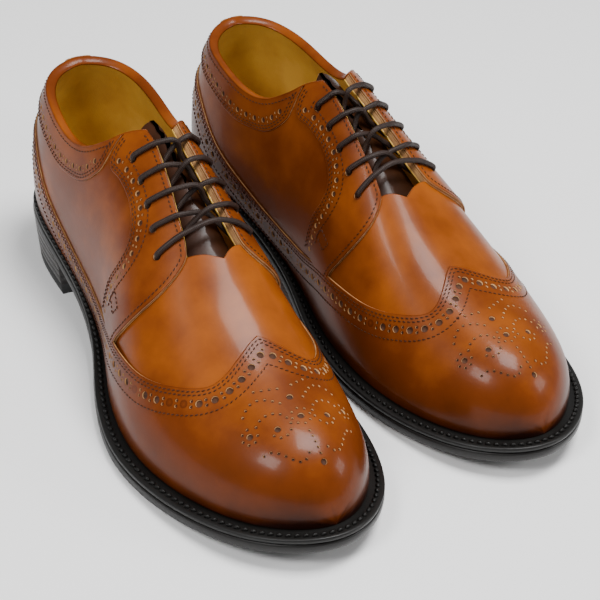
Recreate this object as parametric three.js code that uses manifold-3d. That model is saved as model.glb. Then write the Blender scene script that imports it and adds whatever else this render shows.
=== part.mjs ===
// A pair of longwing brogue derby shoes, EU 43, in millimetres, toes to +Y, soles on Z = 0.
// Each shoe is a set of leather layers laid one over another on a last, above a welted sole and
// a stacked heel. The last is described by stations round the foot, 0 at the back of the heel,
// 11 at the toe tip and 22 back at the heel (low numbers on the outer side), and by a height
// from 0 at the feather line, where upper meets welt, to 1 on the ridge over the instep.
import * as THREE from "three";
import { mergeVertices } from "three/addons/utils/BufferGeometryUtils.js";
import Module from "manifold-3d";

const wasm = await Module();
wasm.setup();

// ---------------------------------------------------------------- driving dimensions
const GAP = 0.35; // air between two pieces that touch
const LAST_LENGTH = 299; // feather line, heel to toe
const LAST_WIDTH = 1; // scale on every width of the last
const LAST_HEIGHT = 1; // scale on every height of the last above its feather line
const BALL_Y = 200; // where the sole touches the ground
const HEEL_RISE = 26; // feather line at the heel above the ball
const TOE_SPRING = 11; // feather line at the toe above the ball

const LINING = 0.9;
const STIFFENER = 0.9; // heel counter and toe puff
const UPPER = 1.1; // vamp, quarters, wing cap, facings and collar bands
const STRIP = 0.9; // backstay
const TONGUE = 1.5;
const LINING_DEPTH = 3.9; // the lining's inner face, inside the upper's outer face

const OUTSOLE = 5.4;
const WELT = 2.8;
const INSOLE = 2.5;
const SOCK = 0.9;
const CORK = 1.5;
const SHANK_WIDTH = 14;
const SHANK = 1.4;
const EDGE_FOREPART = 7.6; // how far the sole edge stands out past the feather line
const EDGE_HEEL = 2.8;
const EDGE_INNER = 5; // how far the welt reaches in under the upper
const HEEL_BREAST_Y = 70;
const TOP_PIECE = 6;
const RAND_EDGE = 0.8; // the wedge-shaped rand's thickness at the heel breast
const HEEL_LIFTS = 3;
const HEEL_TAPER = 0.5; // each lift is smaller than the one above by this much

const LACE = 3; // lace diameter
const LACE_SLACK = 0.8; // air between the lace and the leather that it lies on
const EYELET_HOLE = 4.6; // punched hole, diameter
const EYELETS = 5;
const EYELET_FIRST = 4.5; // station of the top eyelet
const EYELET_STEP = 0.345; // stations between eyelets
const EYELET_HEIGHT = [0.75, 0.69]; // height of the top and the bottom eyelet
const AGLET_LENGTH = 16;
const AGLET = 3.4;

const SHOE_SPREAD = 93; // between the two heels' middles
const TOE_OUT = 3.6; // degrees that each shoe points outwards
const LEFT_SHOE_BACK = 4; // how far the left shoe stands behind the right one

// ---------------------------------------------------------------- the last
// Half outlines of the feather line, heel to toe, as control points of a smooth closed curve.
const OUTER_SIDE = [
  [0, 0.6], [24.3, 10.7], [34, 35], [33.5, 68], [33, 102], [36, 136],
  [48, 168], [54, 198], [50, 228], [40, 257], [24, 283], [-6, 300],
];
const INNER_SIDE = [
  [0, 0.6], [-24.3, 10.7], [-34, 35], [-32.5, 68], [-31, 102], [-33, 136],
  [-43, 168], [-48, 200], [-47, 232], [-41, 260], [-30, 283], [-6, 300],
];
const RIDGE_X = [0, 0, -1, -2, -4, -5, -5, -5, -4.5, -4.5, -5.5, -6];
const RIDGE_Y = [35, 35, 35, 68, 102, 136, 168, 199, 230, 258.5, 283, 300];
const RIDGE_HEIGHT = [85, 85, 88, 94, 103, 98, 83, 64, 49, 41, 31, 0];
// Shape of the cross-section: how far it bulges low down, how fast it rises, how broad it is on top.
const LOW_BULGE = [1.12, 1.12, 1.12, 1.11, 1.11, 1.12, 1.09, 1.06, 1.04, 1.03, 1.02, 1.02];
const LOW_RISE = [0.35, 0.35, 0.36, 0.4, 0.45, 0.48, 0.5, 0.5, 0.52, 0.56, 0.6, 0.6];
const TOP_BREADTH = [0.95, 0.95, 0.93, 0.88, 0.75, 0.65, 0.62, 0.62, 0.62, 0.6, 0.58, 0.58];
const TOP_RISE = [1, 1, 1, 0.98, 0.95, 0.95, 0.97, 1, 1, 1, 1, 1];
const STATIONS = 22;
const TOE = 11;

const lengthScale = LAST_LENGTH / 299;
const closed = (outer, inner) => [...outer, ...inner.slice(1, -1).reverse()];
const feather = closed(OUTER_SIDE, INNER_SIDE).map(
  ([x, y]) => new THREE.Vector2(x * LAST_WIDTH, y * lengthScale),
);
const middle = RIDGE_X.map((x, i) => [x * LAST_WIDTH, RIDGE_Y[i] * lengthScale]);
const ridge = closed(middle, middle).map(([x, y]) => new THREE.Vector2(x, y));

// Weights of a uniform cubic B-spline at t between two control points.
const weights = (t) => [
  (1 - t) ** 3 / 6,
  (3 * t ** 3 - 6 * t ** 2 + 4) / 6,
  (-3 * t ** 3 + 3 * t ** 2 + 3 * t + 1) / 6,
  t ** 3 / 6,
];

function onLoop(points, station) {
  const first = Math.floor(station);
  const sum = new THREE.Vector2();
  weights(station - first).forEach((w, k) => {
    const index = (((first + k - 1) % STATIONS) + STATIONS) % STATIONS;
    sum.addScaledVector(points[index], w);
  });
  return sum;
}

const fold = (station) => {
  const turn = ((station % STATIONS) + STATIONS) % STATIONS;
  return turn > TOE ? STATIONS - turn : turn;
};

// A value along one side of the shoe; the other side mirrors it. Heights change sign past the toe.
function alongSide(values, station, sign = 1) {
  const at = fold(station);
  const first = Math.min(Math.floor(at), TOE - 1);
  return weights(at - first).reduce((sum, w, k) => {
    const index = first + k - 1;
    if (index < 0) return sum + w * values[1];
    if (index > TOE) return sum + w * sign * values[2 * TOE - index];
    return sum + w * values[index];
  }, 0);
}

const smoothStep = (t) => THREE.MathUtils.smoothstep(t, 0, 1);

// Height of the feather line above its lowest point at the ball, by distance from the heel.
function rocker(y) {
  const ball = BALL_Y * lengthScale;
  if (y < ball) return HEEL_RISE * smoothStep((ball - y) / (ball * 0.925));
  return TOE_SPRING * ((y - ball) / (LAST_LENGTH - ball)) ** 1.8;
}

const SOLE_STACK = OUTSOLE + GAP + WELT + GAP;
const featherHeight = (y) => SOLE_STACK + rocker(y);

function lastPoint(station, height) {
  const edge = onLoop(feather, station);
  const centre = onLoop(ridge, station);
  const low = 1 - height;
  const near = 3 * height * low * low;
  const far = 3 * height * height * low;
  const spread =
    low ** 3 + near * alongSide(LOW_BULGE, station) + far * alongSide(TOP_BREADTH, station);
  const rise =
    near * alongSide(LOW_RISE, station) + far * alongSide(TOP_RISE, station) + height ** 3;
  const tall = alongSide(RIDGE_HEIGHT, station, -1) * LAST_HEIGHT;
  return new THREE.Vector3(
    centre.x + (edge.x - centre.x) * spread,
    centre.y + (edge.y - centre.y) * spread,
    featherHeight(THREE.MathUtils.lerp(edge.y, centre.y, height)) + tall * rise,
  );
}

// ---------------------------------------------------------------- the grid under every layer
const HALF_COLUMNS = [
  0, 0.7, 1.4, 2.1, 2.8, 3.6, 4.4, 5.1, 5.8, 6.5, 7.2, 7.9, 8.6, 9.3, 10, 10.5,
];
const COLUMNS = [
  ...HALF_COLUMNS,
  TOE,
  ...HALF_COLUMNS.slice(1)
    .reverse()
    .map((station) => STATIONS - station),
];
const ROWS = [0, 0.12, 0.26, 0.41, 0.56, 0.7, 0.85, 1];

function lastNormal(station, height) {
  const step = 1e-3;
  const inside = Math.abs(fold(station) - TOE) < 1e-6;
  if (inside) return new THREE.Vector3(0, 1, 0);
  const along = lastPoint(station + step, height).sub(lastPoint(station - step, height));
  const up = lastPoint(station, Math.min(height + step, 1)).sub(
    lastPoint(station, Math.max(height - step, 0)),
  );
  return along.cross(up).normalize();
}

// On the ridge the two sides of the shoe share one normal.
function gridNormal(station, height) {
  const normal = lastNormal(station, height);
  if (height < 1) return normal;
  return normal.add(lastNormal(STATIONS - station, height)).normalize();
}

const grid = COLUMNS.map((station) =>
  ROWS.map((height) => ({
    point: lastPoint(station, height),
    normal: gridNormal(station, height),
  })),
);

const column = (index) => ((index % COLUMNS.length) + COLUMNS.length) % COLUMNS.length;
const columnStation = (index) =>
  COLUMNS[column(index)] + Math.floor(index / COLUMNS.length) * STATIONS;

// The column and row whose cell holds a place, with the shares along the cell.
function cellAt(station, height) {
  const turn = Math.floor(station / STATIONS);
  const local = station - turn * STATIONS;
  let i = COLUMNS.length - 1;
  while (COLUMNS[i] > local + 1e-9) i -= 1;
  let j = ROWS.length - 2;
  while (ROWS[j] > height + 1e-9) j -= 1;
  const next = i + 1 < COLUMNS.length ? COLUMNS[i + 1] : STATIONS;
  return {
    i,
    j,
    a: (local - COLUMNS[i]) / (next - COLUMNS[i]),
    b: (height - ROWS[j]) / (ROWS[j + 1] - ROWS[j]),
  };
}

// A point at a given depth from the last's surface, flat on each half of a grid cell.
function layerPoint(station, height, depth) {
  const { i, j, a, b } = cellAt(station, height);
  const shares = [
    [0, 0, 1 - Math.max(a, b)],
    [1, 1, Math.min(a, b)],
    a > b ? [1, 0, a - b] : [0, 1, b - a],
  ];
  const sum = new THREE.Vector3();
  for (const [di, dj, share] of shares) {
    const corner = grid[column(i + di)][j + dj];
    const at = typeof depth === "number" ? depth : depth[column(i + di)][j + dj];
    sum.addScaledVector(corner.point, share).addScaledVector(corner.normal, share * at);
  }
  return sum;
}

// ---------------------------------------------------------------- layers of leather
// The part of a closed outline where a distance is not negative (Sutherland-Hodgman clipping).
function clip(outline, distance) {
  return outline.flatMap((point, k) => {
    const before = outline[(k + outline.length - 1) % outline.length];
    const [d0, d1] = [distance(before), distance(point)];
    const share = d0 / (d0 - d1);
    const cut = before.map((value, n) => value + (point[n] - value) * share);
    return [...(d0 * d1 < 0 ? [cut] : []), ...(d1 >= 0 ? [point] : [])];
  });
}

// Drops the corners of a clipped outline that repeat, or that only run out along a line and back.
function withoutSpikes(outline) {
  const spare = outline.findIndex((point, k) => {
    const before = outline[(k + outline.length - 1) % outline.length];
    const after = outline[(k + 1) % outline.length];
    const [ax, ay] = [point[0] - before[0], point[1] - before[1]];
    const [bx, by] = [after[0] - point[0], after[1] - point[1]];
    const turnsBack = Math.abs(ax * by - ay * bx) < 1e-12 && ax * bx + ay * by < 0;
    return Math.hypot(ax, ay) < 1e-9 || turnsBack;
  });
  return spare < 0 ? outline : withoutSpikes(outline.toSpliced(spare, 1));
}

const clipBelow = (outline, axis, limit) => clip(outline, (point) => limit - point[axis]);
const clipAbove = (outline, axis, limit) => clip(outline, (point) => point[axis] - limit);

const WELD = 0.02; // corners nearer than this are one corner
const areaOf = (points) => THREE.ShapeUtils.area(points.map(([x, y]) => ({ x, y })));

// The halves of grid cells that an outline covers, each with its own part of the outline.
function coveredCells(outline) {
  const stations = outline.map(([station]) => station);
  const cells = [];
  const turns = Math.floor(Math.min(...stations) / STATIONS);
  for (let i = turns * COLUMNS.length; columnStation(i) < Math.max(...stations); i += 1) {
    const [left, right] = [columnStation(i), columnStation(i + 1)];
    const strip = clipBelow(clipAbove(outline, 0, left), 0, right);
    for (let j = 0; j + 1 < ROWS.length && strip.length > 2; j += 1) {
      const [low, high] = [ROWS[j], ROWS[j + 1]];
      const inCell = clipBelow(clipAbove(strip, 1, low), 1, high);
      const slope = (point) => (point[0] - left) / (right - left) - (point[1] - low) / (high - low);
      const whole = (right - left) * (high - low);
      for (const [sign, corner] of [[1, [right, low]], [-1, [left, high]]]) {
        const points = withoutSpikes(clip(inCell, (point) => sign * slope(point)));
        const area = points.length > 2 ? Math.abs(areaOf(points)) : 0;
        if (area < whole * 1e-4) continue;
        const full = area > (whole / 2) * (1 - 1e-9);
        cells.push({ i, j, points: full ? [[left, low], corner, [right, high]] : points });
      }
    }
  }
  return cells;
}

// Where a layer lies, every layer above it is lifted, and a little less one cell further out.
function liftOver(cells, thickness) {
  const lift = grid.map((rows) => rows.map(() => 0));
  const mark = (i, j, value) => {
    const at = column(i);
    lift[at][j] = Math.max(lift[at][j], value);
    if (j === ROWS.length - 1) {
      const mirrored = column(COLUMNS.length - at);
      lift[mirrored][j] = Math.max(lift[mirrored][j], value);
    }
  };
  const near = 0.45;
  for (const { i, j } of cells) {
    for (let di = -1; di <= 2; di += 1) {
      for (let dj = -1; dj <= 2; dj += 1) {
        const row = j + dj;
        if (row < 0 || row >= ROWS.length) continue;
        const inside = di >= 0 && di <= 1 && dj >= 0 && dj <= 1;
        mark(i + di, row, (inside ? 1 : near) * (thickness + GAP));
      }
    }
  }
  return lift;
}

const sumLifts = (lifts) =>
  grid.map((rows, i) => rows.map((_, j) => lifts.reduce((sum, lift) => sum + lift[i][j], 0)));

const edgesOf = ([a, b, c]) =>
  [[a, b], [b, c], [c, a]].map(([p, q]) => `${Math.min(p, q)},${Math.max(p, q)}`);

// Groups of triangles that hang together by shared keys, such as edges, the largest group first.
function patchesBy(triangles, keysOf) {
  const byKey = new Map();
  triangles.forEach((triangle, k) => {
    for (const key of keysOf(triangle)) byKey.set(key, [...(byKey.get(key) ?? []), k]);
  });
  const waiting = new Set(triangles.keys());
  const patches = [];
  for (const start of triangles.keys()) {
    const patch = waiting.delete(start) ? [start] : [];
    for (const k of patch) {
      const beside = keysOf(triangles[k]).flatMap((key) => byKey.get(key));
      patch.push(...beside.filter((other) => waiting.delete(other)));
    }
    patches.push(patch.map((k) => triangles[k]));
  }
  return patches.sort((one, other) => other.length - one.length);
}

// The main patch of a sheet, without crumbs that touch it only at a corner.
function mainPatch(triangles) {
  const [patch] = patchesBy(triangles, edgesOf);
  const crumbs = new Set();
  for (const corner of new Set(patch.flat())) {
    const around = patch.filter((triangle) => triangle.includes(corner));
    const fans = patchesBy(around, (triangle) => triangle.filter((k) => k !== corner));
    for (const triangle of fans.slice(1).flat()) crumbs.add(triangle);
  }
  return crumbs.size ? mainPatch(patch.filter((triangle) => !crumbs.has(triangle))) : patch;
}

// Triangles of the covered cells, facing out, over one shared list of places.
function trianglesOf(cells) {
  const places = [];
  const points = [];
  const triangles = [];
  const placeOf = (place) => {
    const point = layerPoint(place[0], place[1], 0);
    const known = points.findIndex((other) => other.distanceToSquared(point) < WELD * WELD);
    if (known >= 0) return known;
    points.push(point);
    return places.push(place) - 1;
  };
  for (const { points: corners } of cells) {
    const flat = corners.map(([x, y]) => new THREE.Vector2(x, y));
    const faces = THREE.ShapeUtils.triangulateShape(flat, []);
    const turned = faces.reduce((sum, face) => sum + areaOf(face.map((k) => corners[k])), 0) < 0;
    for (const face of faces) {
      const [a, b, c] = face.map((k) => placeOf(corners[k]));
      if (a === b || b === c || a === c) continue;
      triangles.push(turned ? [a, c, b] : [a, b, c]);
    }
  }
  return { places, triangles: mainPatch(triangles) };
}

// Closes two matching skins into one body with walls along their open edges.
function closeSkins(outer, inner, triangles) {
  const count = outer.length;
  const positions = [...outer, ...inner].flatMap((point) => point.toArray());
  const faces = triangles.flatMap(([a, b, c]) => [a, b, c, a + count, c + count, b + count]);
  const used = new Set(triangles.flatMap(([a, b, c]) => [`${a},${b}`, `${b},${c}`, `${c},${a}`]));
  for (const [a, b, c] of triangles) {
    for (const [from, to] of [[a, b], [b, c], [c, a]]) {
      if (used.has(`${to},${from}`)) continue;
      faces.push(from, from + count, to, to, from + count, to + count);
    }
  }
  const geometry = new THREE.BufferGeometry();
  geometry.setAttribute("position", new THREE.Float32BufferAttribute(positions, 3));
  geometry.setIndex(faces);
  return geometry;
}

// A sheet of leather on the last: its outlines, its thickness and the sheets that lie under it.
function sheet(outlines, thickness, under = [], depth = ON_LINING) {
  const cells = outlines.flatMap(coveredCells);
  const { places, triangles } = trianglesOf(cells);
  const lift = sumLifts(under.map((piece) => piece.lift));
  const inner = lift.map((rows) => rows.map((value) => value + depth));
  const outer = inner.map((rows) => rows.map((value) => value + thickness));
  const skin = (depths) => places.map(([s, h]) => layerPoint(s, h, depths));
  return {
    geometry: closeSkins(skin(outer), skin(inner), triangles),
    lift: liftOver(cells, thickness),
    cells,
    outer,
  };
}

// Sheets that lie side by side lift what is above them once, also where they meet.
const sideBySide = (thickness, ...pieces) => ({
  lift: liftOver(pieces.flatMap((piece) => piece.cells), thickness),
});

const ON_LINING = GAP - LINING_DEPTH + LINING;
const mirrored = (outline) => outline.map(([station, height]) => [STATIONS - station, height]);

// ---------------------------------------------------------------- pattern lines, outer side
const SEAM = 0.05; // half the gap of a heel seam, in stations
const LASTED = 0.004; // the upper's lower edge, just clear of the welt
const BACK_HEIGHT = 0.68; // topline at the back of the heel
const TOPLINE = [
  [1, 0.65], [2, 0.595], [2.9, 0.545], [3.45, 0.57], [3.85, 0.67], [4.1, 0.79], [4.3, 0.885],
];
const THROAT = [[4.5, 0.89], [5, 0.87], [5.5, 0.855], [5.9, 0.845]];
const FRONT_EDGE = [[6.17, 0.82], [6.3, 0.73], [6.32, 0.62], [6.25, 0.5], [6.12, 0.38], [6, 0.3]];
const THROAT_BASE = 6.35; // where the vamp begins on the ridge, between the facings
const WING_BACK_HEIGHT = 0.46;
const WING_LINE = [
  [1, 0.43], [1.8, 0.36], [2.6, 0.2], [3.4, 0.13], [4.2, 0.115], [5, 0.15], [5.7, 0.235],
  [6.3, 0.305], [6.85, 0.375], [7.25, 0.45], [7.55, 0.53], [7.78, 0.61], [7.9, 0.69],
  [7.87, 0.78], [7.75, 0.87], [7.6, 0.94],
];
const WING_PEAK = 7.5; // where the wing's peak meets the ridge
const BAND_BACK_HEIGHT = 0.56;
const BAND_LINE = [[1, 0.53], [2, 0.455], [2.8, 0.4], [3.3, 0.41], [3.7, 0.45], [4, 0.54]];
const FACING_REAR = [
  [4.2, 0.605], [4.5, 0.635], [4.85, 0.63], [5.12, 0.6], [5.28, 0.54], [5.27, 0.45], [5.12, 0.33],
];
const VAMP_REAR = [[5.2, 0.07], [5.7, 0.3], [5.95, 0.45], [6.05, 0.62], [6.1, 0.76], [6.2, 0.9]];
const VAMP_FRONT = [
  [8.1, 1], [8.2, 0.9], [8.35, 0.78], [8.35, 0.66], [8.2, 0.52], [7.8, 0.38], [7.2, 0.27],
  [6.5, 0.18], [5.8, 0.1],
];
const LINING_FRONT = [[6.25, 0.85], [6.45, 0.8], [6.45, 0.7], [6.35, 0.5], [6.15, 0.3], [6, LASTED]];
const LINING_SEAM = 0.05; // between quarter lining and vamp lining, in stations

const QUARTER = [
  [SEAM, BACK_HEIGHT], ...TOPLINE, ...THROAT, ...FRONT_EDGE, [5.9, 0.16], [5, 0.06], [4.2, 0.03],
  [3.3, 0.04], [2.6, 0.1], [1.8, 0.26], [1, 0.33], [SEAM, 0.36],
];
const FACING = [
  ...TOPLINE.slice(5), ...THROAT, ...FRONT_EDGE.slice(0, -1), [6.02, 0.32], [5.7, 0.265],
  [5.1, 0.19], ...FACING_REAR.slice().reverse(), [4.07, 0.6],
];
const COLLAR_BAND = [
  [SEAM, BACK_HEIGHT], ...TOPLINE.slice(0, 5), [4.05, 0.765], [4.02, 0.6],
  ...BAND_LINE.slice().reverse(), [SEAM, BAND_BACK_HEIGHT],
];
const WING = [[SEAM, LASTED], [SEAM, WING_BACK_HEIGHT], ...WING_LINE, [WING_PEAK, 1]];
const BACKSTAY_WIDTH = 0.3; // half width, in stations
const TONGUE_TOP = 3.95;
const TONGUE_END = 6.75;
const TONGUE_SIDE = 0.79;

const acrossToe = (side) => [...side, ...mirrored(side).reverse()];
const behindHeel = (side) => side.map(([station, height]) => [-station, height]);
const acrossHeel = (side) => [...side, ...behindHeel(side).reverse()];

// ---------------------------------------------------------------- solids for cutting
function toSolid(geometry) {
  const bare = geometry.clone();
  bare.deleteAttribute("normal");
  bare.deleteAttribute("uv");
  const merged = mergeVertices(bare, 1e-4);
  const vertProperties = merged.attributes.position.array;
  const triVerts = new Uint32Array(merged.index.array);
  return new wasm.Manifold(new wasm.Mesh({ numProp: 3, vertProperties, triVerts }));
}

function toGeometry(solid) {
  const { vertProperties, triVerts } = solid.getMesh();
  const geometry = new THREE.BufferGeometry();
  geometry.setAttribute("position", new THREE.BufferAttribute(vertProperties, 3));
  geometry.setIndex(new THREE.BufferAttribute(triVerts, 1));
  return geometry;
}

const eyelets = Array.from({ length: EYELETS }, (_, k) => ({
  station: EYELET_FIRST + k * EYELET_STEP,
  height: THREE.MathUtils.lerp(EYELET_HEIGHT[0], EYELET_HEIGHT[1], k / (EYELETS - 1)),
}));

// The punched lace holes of one side, each along the leather's own normal.
function punch(geometry, side) {
  return toGeometry(
    eyelets.reduce((solid, { station, height }) => {
      const at = side > 0 ? station : STATIONS - station;
      const out = layerPoint(at, height, 9);
      const axis = out.clone().sub(layerPoint(at, height, -9));
      const hole = new THREE.CylinderGeometry(EYELET_HOLE / 2, EYELET_HOLE / 2, axis.length(), 8);
      const turn = new THREE.Quaternion().setFromUnitVectors(
        new THREE.Vector3(0, 1, 0),
        axis.clone().normalize(),
      );
      hole.applyQuaternion(turn);
      hole.translate(...out.addScaledVector(axis, -0.5).toArray());
      return solid.subtract(toSolid(hole));
    }, toSolid(geometry)),
  );
}

// ---------------------------------------------------------------- upper, lining and stiffeners
function upperPieces() {
  const lining = (outlines) => sheet(outlines, LINING, [], -LINING_DEPTH);
  const quarterLining = lining([
    acrossHeel([[0, BACK_HEIGHT], ...TOPLINE, ...THROAT, ...LINING_FRONT]).slice(0, -1),
  ]);
  const vampLining = lining([
    acrossToe([
      ...LINING_FRONT.slice().reverse().map(([station, height]) => [station + LINING_SEAM, height]),
      [THROAT_BASE, 0.88],
      [THROAT_BASE, 1],
    ]),
  ]);
  const puff = sheet([acrossToe([[8.9, LASTED], [9, 0.5], [9.1, 1]])], STIFFENER);
  const counter = sheet(
    [acrossHeel([[0, 0.55], [1, 0.52], [2, 0.42], [2.9, 0.2], [3.2, LASTED]]).slice(0, -1)],
    STIFFENER,
  );
  const vampSide = [...VAMP_REAR, [THROAT_BASE, 1], ...VAMP_FRONT];
  const vamp = sheet([vampSide, mirrored(vampSide)], UPPER, [puff]);
  const quarterOn = [vamp, counter];
  const quarter = sheet([QUARTER], UPPER, quarterOn);
  const quarterInner = sheet([mirrored(QUARTER)], UPPER, quarterOn);
  const under = [puff, counter, vamp, sideBySide(UPPER, quarter, quarterInner)];
  const wing = sheet([acrossToe(WING)], UPPER, under);
  const facing = sheet([FACING], UPPER, under);
  const facingInner = sheet([mirrored(FACING)], UPPER, under);
  const band = sheet([COLLAR_BAND], UPPER, under);
  const bandInner = sheet([mirrored(COLLAR_BAND)], UPPER, under);
  const backstay = sheet(
    [
      acrossHeel([
        [0, BACK_HEIGHT - 0.005], [BACKSTAY_WIDTH * 1.3, BACK_HEIGHT - 0.015],
        [BACKSTAY_WIDTH, WING_BACK_HEIGHT - 0.02], [0, WING_BACK_HEIGHT - 0.03],
      ]).slice(0, -1),
    ],
    STRIP,
    [...under, sideBySide(UPPER, wing, band, bandInner)],
  );
  return {
    geometries: {
      quarter_lining: punch(punch(quarterLining.geometry, 1), -1),
      vamp_lining: vampLining.geometry,
      toe_puff: puff.geometry,
      heel_counter: counter.geometry,
      vamp: vamp.geometry,
      quarter_outer: punch(quarter.geometry, 1),
      quarter_inner: punch(quarterInner.geometry, -1),
      wing_cap: wing.geometry,
      facing_outer: punch(facing.geometry, 1),
      facing_inner: punch(facingInner.geometry, -1),
      collar_band_outer: band.geometry,
      collar_band_inner: bandInner.geometry,
      backstay: backstay.geometry,
    },
    facingTop: { outer: facing.outer, inner: facingInner.outer },
  };
}

// ---------------------------------------------------------------- tongue
const LACE_ROOM = LACE + 2 * LACE_SLACK;

// It lies under the lace inside the throat and rises at its front end to the vamp lining.
function tongueGeometry() {
  const side = [[TONGUE_TOP, TONGUE_SIDE], [TONGUE_TOP, 1], [TONGUE_END, 1], [TONGUE_END, 0.9], [6.3, 0.8]];
  const deep = -LINING_DEPTH - GAP - TONGUE;
  const depth = COLUMNS.map((station) =>
    ROWS.map(() => deep - (fold(station) < 6.4 ? LACE_ROOM : 0)),
  );
  const cells = [side, mirrored(side)].flatMap(coveredCells);
  const { places, triangles } = trianglesOf(cells);
  const skin = (extra) =>
    places.map(([s, h]) => layerPoint(s, h, depth.map((rows) => rows.map((d) => d + extra))));
  return closeSkins(skin(TONGUE), skin(0), triangles);
}

// ---------------------------------------------------------------- sole and heel
// A point of the feather line pushed outwards in plan.
function edgePoint(station, out) {
  const step = 1e-3;
  const along = onLoop(feather, station + step).sub(onLoop(feather, station - step)).normalize();
  return onLoop(feather, station).add(new THREE.Vector2(along.y, -along.x).multiplyScalar(out));
}

const soleEdge = (station) =>
  THREE.MathUtils.lerp(EDGE_HEEL, EDGE_FOREPART, smoothStep((fold(station) - 3.6) / 2.4));

function stationAt(y) {
  let low = 0;
  let high = TOE;
  for (let k = 0; k < 40; k += 1) {
    const half = (low + high) / 2;
    if (onLoop(feather, half).y < y) low = half;
    else high = half;
  }
  return low;
}

// A layer of the bottom, ruled across the shoe between two stations, with its faces at given heights.
function slab(out, bottom, top, from = 0, to = TOE) {
  const stations = [from, ...COLUMNS.filter((s) => s > from + 0.1 && s < to - 0.1), to];
  const points = [];
  const lookup = new Map();
  const place = (station, height) => {
    const edge = edgePoint(station, typeof out === "number" ? out : out(station));
    const point = new THREE.Vector3(edge.x, edge.y, height(edge.y));
    const key = point.toArray().map((value) => Math.round(value * 1e3)).join();
    if (!lookup.has(key)) {
      lookup.set(key, points.length);
      points.push(point);
    }
    return lookup.get(key);
  };
  const faces = [];
  const quad = (a, b, c, d) => {
    for (const face of [[a, b, c], [a, c, d]]) {
      if (new Set(face).size === 3) faces.push(face);
    }
  };
  const rungs = stations.map((s) => ({
    outerTop: place(s, top),
    innerTop: place(STATIONS - s, top),
    outerLow: place(s, bottom),
    innerLow: place(STATIONS - s, bottom),
  }));
  for (let k = 0; k + 1 < rungs.length; k += 1) {
    const [p, q] = [rungs[k], rungs[k + 1]];
    quad(p.outerTop, q.outerTop, q.innerTop, p.innerTop);
    quad(p.outerLow, p.innerLow, q.innerLow, q.outerLow);
    quad(p.outerLow, q.outerLow, q.outerTop, p.outerTop);
    quad(p.innerTop, q.innerTop, q.innerLow, p.innerLow);
  }
  const first = rungs[0];
  const last = rungs[rungs.length - 1];
  quad(first.outerLow, first.outerTop, first.innerTop, first.innerLow);
  quad(last.outerLow, last.innerLow, last.innerTop, last.outerTop);
  const geometry = new THREE.BufferGeometry();
  const positions = points.flatMap((point) => point.toArray());
  geometry.setAttribute("position", new THREE.Float32BufferAttribute(positions, 3));
  geometry.setIndex(faces.flat());
  return geometry;
}

const above = (rise) => (y) => rocker(y) + rise;

// The welt is a strip right round the shoe, sewn to the upper and stitched to the outsole.
function weltGeometry() {
  const low = above(OUTSOLE + GAP);
  const high = above(OUTSOLE + GAP + WELT);
  const positions = [];
  for (const station of COLUMNS) {
    const outer = edgePoint(station, soleEdge(station));
    const inner = edgePoint(station, -EDGE_INNER);
    for (const [edge, height] of [[inner, low], [outer, low], [outer, high], [inner, high]]) {
      positions.push(edge.x, edge.y, height(edge.y));
    }
  }
  const faces = [];
  const count = COLUMNS.length;
  for (let k = 0; k < count; k += 1) {
    for (let n = 0; n < 4; n += 1) {
      const [a, b] = [k * 4 + n, k * 4 + ((n + 1) % 4)];
      const [c, d] = [((k + 1) % count) * 4 + n, ((k + 1) % count) * 4 + ((n + 1) % 4)];
      faces.push(a, c, b, b, c, d);
    }
  }
  const geometry = new THREE.BufferGeometry();
  geometry.setAttribute("position", new THREE.Float32BufferAttribute(positions, 3));
  geometry.setIndex(faces);
  return geometry;
}

const SHANK_FROM = 45;
const SHANK_TO = 145;
const CORK_FROM = 152;

// A flat strip of steel that follows the waist between outsole and insole.
function shankGeometry() {
  const steps = 8;
  const strip = new THREE.BoxGeometry(SHANK_WIDTH, SHANK_TO - SHANK_FROM, SHANK, 1, steps, 1);
  const spots = strip.attributes.position;
  const middleY = ((SHANK_FROM + SHANK_TO) / 2) * lengthScale;
  for (let k = 0; k < spots.count; k += 1) {
    const y = spots.getY(k) * lengthScale + middleY;
    spots.setY(k, y);
    spots.setZ(k, spots.getZ(k) + SHANK / 2 + rocker(y) + OUTSOLE + GAP);
  }
  return strip;
}

function bottomPieces() {
  const inside = -EDGE_INNER - GAP;
  const insoleTop = OUTSOLE + GAP + CORK + GAP + INSOLE;
  const breast = stationAt(HEEL_BREAST_Y * lengthScale);
  const breastTread = rocker(HEEL_BREAST_Y * lengthScale);
  const liftStack = breastTread - GAP - RAND_EDGE - TOP_PIECE;
  const lift = liftStack / HEEL_LIFTS - GAP;
  const heelEdge = (level) => (station) => soleEdge(station) - HEEL_TAPER * level;
  const pieces = {
    outsole: slab(soleEdge, above(0), above(OUTSOLE)),
    welt: weltGeometry(),
    cork_filler: slab(
      inside, above(OUTSOLE + GAP), above(OUTSOLE + GAP + CORK), stationAt(CORK_FROM * lengthScale),
    ),
    shank: shankGeometry(),
    insole: slab(inside, above(insoleTop - INSOLE), above(insoleTop)),
    sock_lining: slab(inside - GAP, above(insoleTop + GAP), above(insoleTop + GAP + SOCK)),
    top_piece: slab(heelEdge(HEEL_LIFTS + 1), () => 0, () => TOP_PIECE, 0, breast),
  };
  for (let k = 0; k < HEEL_LIFTS; k += 1) {
    const low = TOP_PIECE + GAP + k * (lift + GAP);
    const level = HEEL_LIFTS - k;
    pieces[`heel_lift_${k + 1}`] = slab(heelEdge(level), () => low, () => low + lift, 0, breast);
  }
  const randLow = TOP_PIECE + GAP + HEEL_LIFTS * (lift + GAP);
  pieces.heel_rand = slab(heelEdge(0), () => randLow, above(-GAP), 0, breast);
  return pieces;
}

// ---------------------------------------------------------------- lace
const PAST_EDGE = 0.014; // how far beyond the throat's edge the lace bends over it, in height
const MID_THROAT = -1.25; // depth at which two strands cross between the facings
const CROSSING = 2; // how far each crossing strand stands from that depth
const BAR_RISE = 3.2; // the bottom bar's depth over the ridge
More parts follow.
